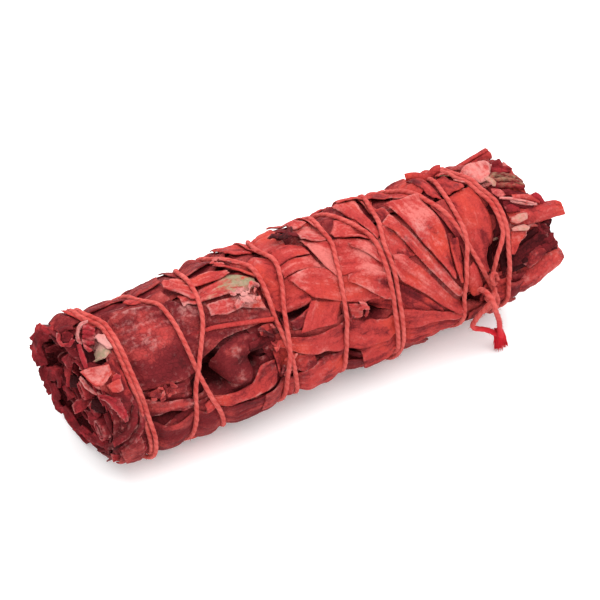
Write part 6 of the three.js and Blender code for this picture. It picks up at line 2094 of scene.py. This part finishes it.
class SAGE_OT_stage(bpy.types.Operator):
    """Builds the floor, the light and the camera."""

    bl_idname = "sage.stage"
    bl_label = "Stage"

    def execute(self, context):
        scene = context.scene
        colours = scene.sage_colours
        mesh = bpy.data.meshes.new("floor")
        corners = [(FLOOR_HALF * x, FLOOR_HALF * y, 0) for x, y in ((-1, -1), (1, -1), (1, 1), (-1, 1))]
        mesh.from_pydata(corners, [], [(0, 1, 2, 3)])
        floor = bpy.data.objects.new("floor", mesh)
        scene.collection.objects.link(floor)
        material = bpy.data.materials.new("Plain pale floor")
        material.use_nodes = True
        shader = material.node_tree.nodes["Principled BSDF"]
        shader.inputs["Base Color"].default_value = (*colours.floor, 1)
        shader.inputs["Roughness"].default_value = 0.9
        shader.inputs["Specular IOR Level"].default_value = 0.0
        shader.inputs["Emission Color"].default_value = (1, 1, 1, 1)
        shader.inputs["Emission Strength"].default_value = 0.16
        mesh.materials.append(material)
        world = bpy.data.worlds.new("Soft white room")
        world.use_nodes = True
        world.node_tree.nodes["Background"].inputs["Color"].default_value = (1, 1, 1, 1)
        world.node_tree.nodes["Background"].inputs["Strength"].default_value = 1.05
        scene.world = world
        self.add_light("Soft light above", (0.05, -0.10, 0.75), 0.9, 6.2)
        self.add_light("Soft light behind", (0.25, 0.55, 0.45), 0.6, 2.0)
        self.add_camera(scene)
        scene.view_settings.view_transform = "Standard"
        return {"FINISHED"}

    def add_light(self, name, spot, size, power):
        """A square area light that faces the bundle."""
        lamp = bpy.data.lights.new(name, "AREA")
        lamp.energy = power
        lamp.size = size
        light = bpy.data.objects.new(name, lamp)
        bpy.context.scene.collection.objects.link(light)
        target = np.array([0, 0, AXIS_HEIGHT * MM])
        away = np.array(spot) - target
        away /= np.linalg.norm(away)
        side = np.cross((0.0, 1.0, 0.0), away)
        side /= np.linalg.norm(side)
        self.turn(light, side, np.cross(away, side), away, spot)

    def add_camera(self, scene):
        """The camera at the photograph's viewing angle and distance."""
        right, up, back, aim = view_axes()
        lens = bpy.data.cameras.new("Camera")
        lens.sensor_width = 36
        lens.lens = 36 * CAMERA["distance"] / CAMERA["mm_per_pixel"] / CAMERA["pixels"]
        lens.clip_start = 0.01
        camera = bpy.data.objects.new("Camera", lens)
        scene.collection.objects.link(camera)
        self.turn(camera, right, up, back, (aim + back * CAMERA["distance"]) * MM)
        scene.camera = camera

    def turn(self, thing, side, up, back, spot):
        """Sets an object's place and its three directions."""
        frame_rows = np.eye(4)
        frame_rows[:3, 0], frame_rows[:3, 1], frame_rows[:3, 2], frame_rows[:3, 3] = side, up, back, spot
        thing.matrix_world = Matrix(frame_rows.tolist())


class SAGE_PT_bundle(bpy.types.Panel):
    """Lists the steps that build the bundle."""

    bl_label = "Sage smudge stick"
    bl_idname = "SAGE_PT_bundle"
    bl_space_type = "VIEW_3D"
    bl_region_type = "UI"
    bl_category = "Sage"

    def draw(self, context):
        for settings in (context.scene.sage_sizes, context.scene.sage_colours):
            for name in settings.__annotations__:
                self.layout.prop(settings, name)
        for step in STEPS:
            self.layout.operator(step.bl_idname)


STEPS = [
    SAGE_OT_stage,
    SAGE_OT_inner_leaves,
    SAGE_OT_hidden_leaves,
    SAGE_OT_front_leaves,
    SAGE_OT_stalks,
    SAGE_OT_twine,
]
CLASSES = [SageSizes, SageColours, *STEPS, SAGE_PT_bundle]


def register():
    """Makes the classes and their settings known to Blender."""
    for each in CLASSES:
        bpy.utils.register_class(each)
    bpy.types.Scene.sage_sizes = bpy.props.PointerProperty(type=SageSizes)
    bpy.types.Scene.sage_colours = bpy.props.PointerProperty(type=SageColours)


def unregister():
    """Takes them away again."""
    del bpy.types.Scene.sage_colours
    del bpy.types.Scene.sage_sizes
    for each in reversed(CLASSES):
        bpy.utils.unregister_class(each)


def main():
    """Builds the stage and the bundle."""
    register()
    bpy.ops.sage.stage()
    bpy.ops.sage.inner_leaves()
    bpy.ops.sage.hidden_leaves()
    bpy.ops.sage.front_leaves()
    bpy.ops.sage.stalks()
    bpy.ops.sage.twine()
    dress_frame()


if __name__ == "__main__":
    main()
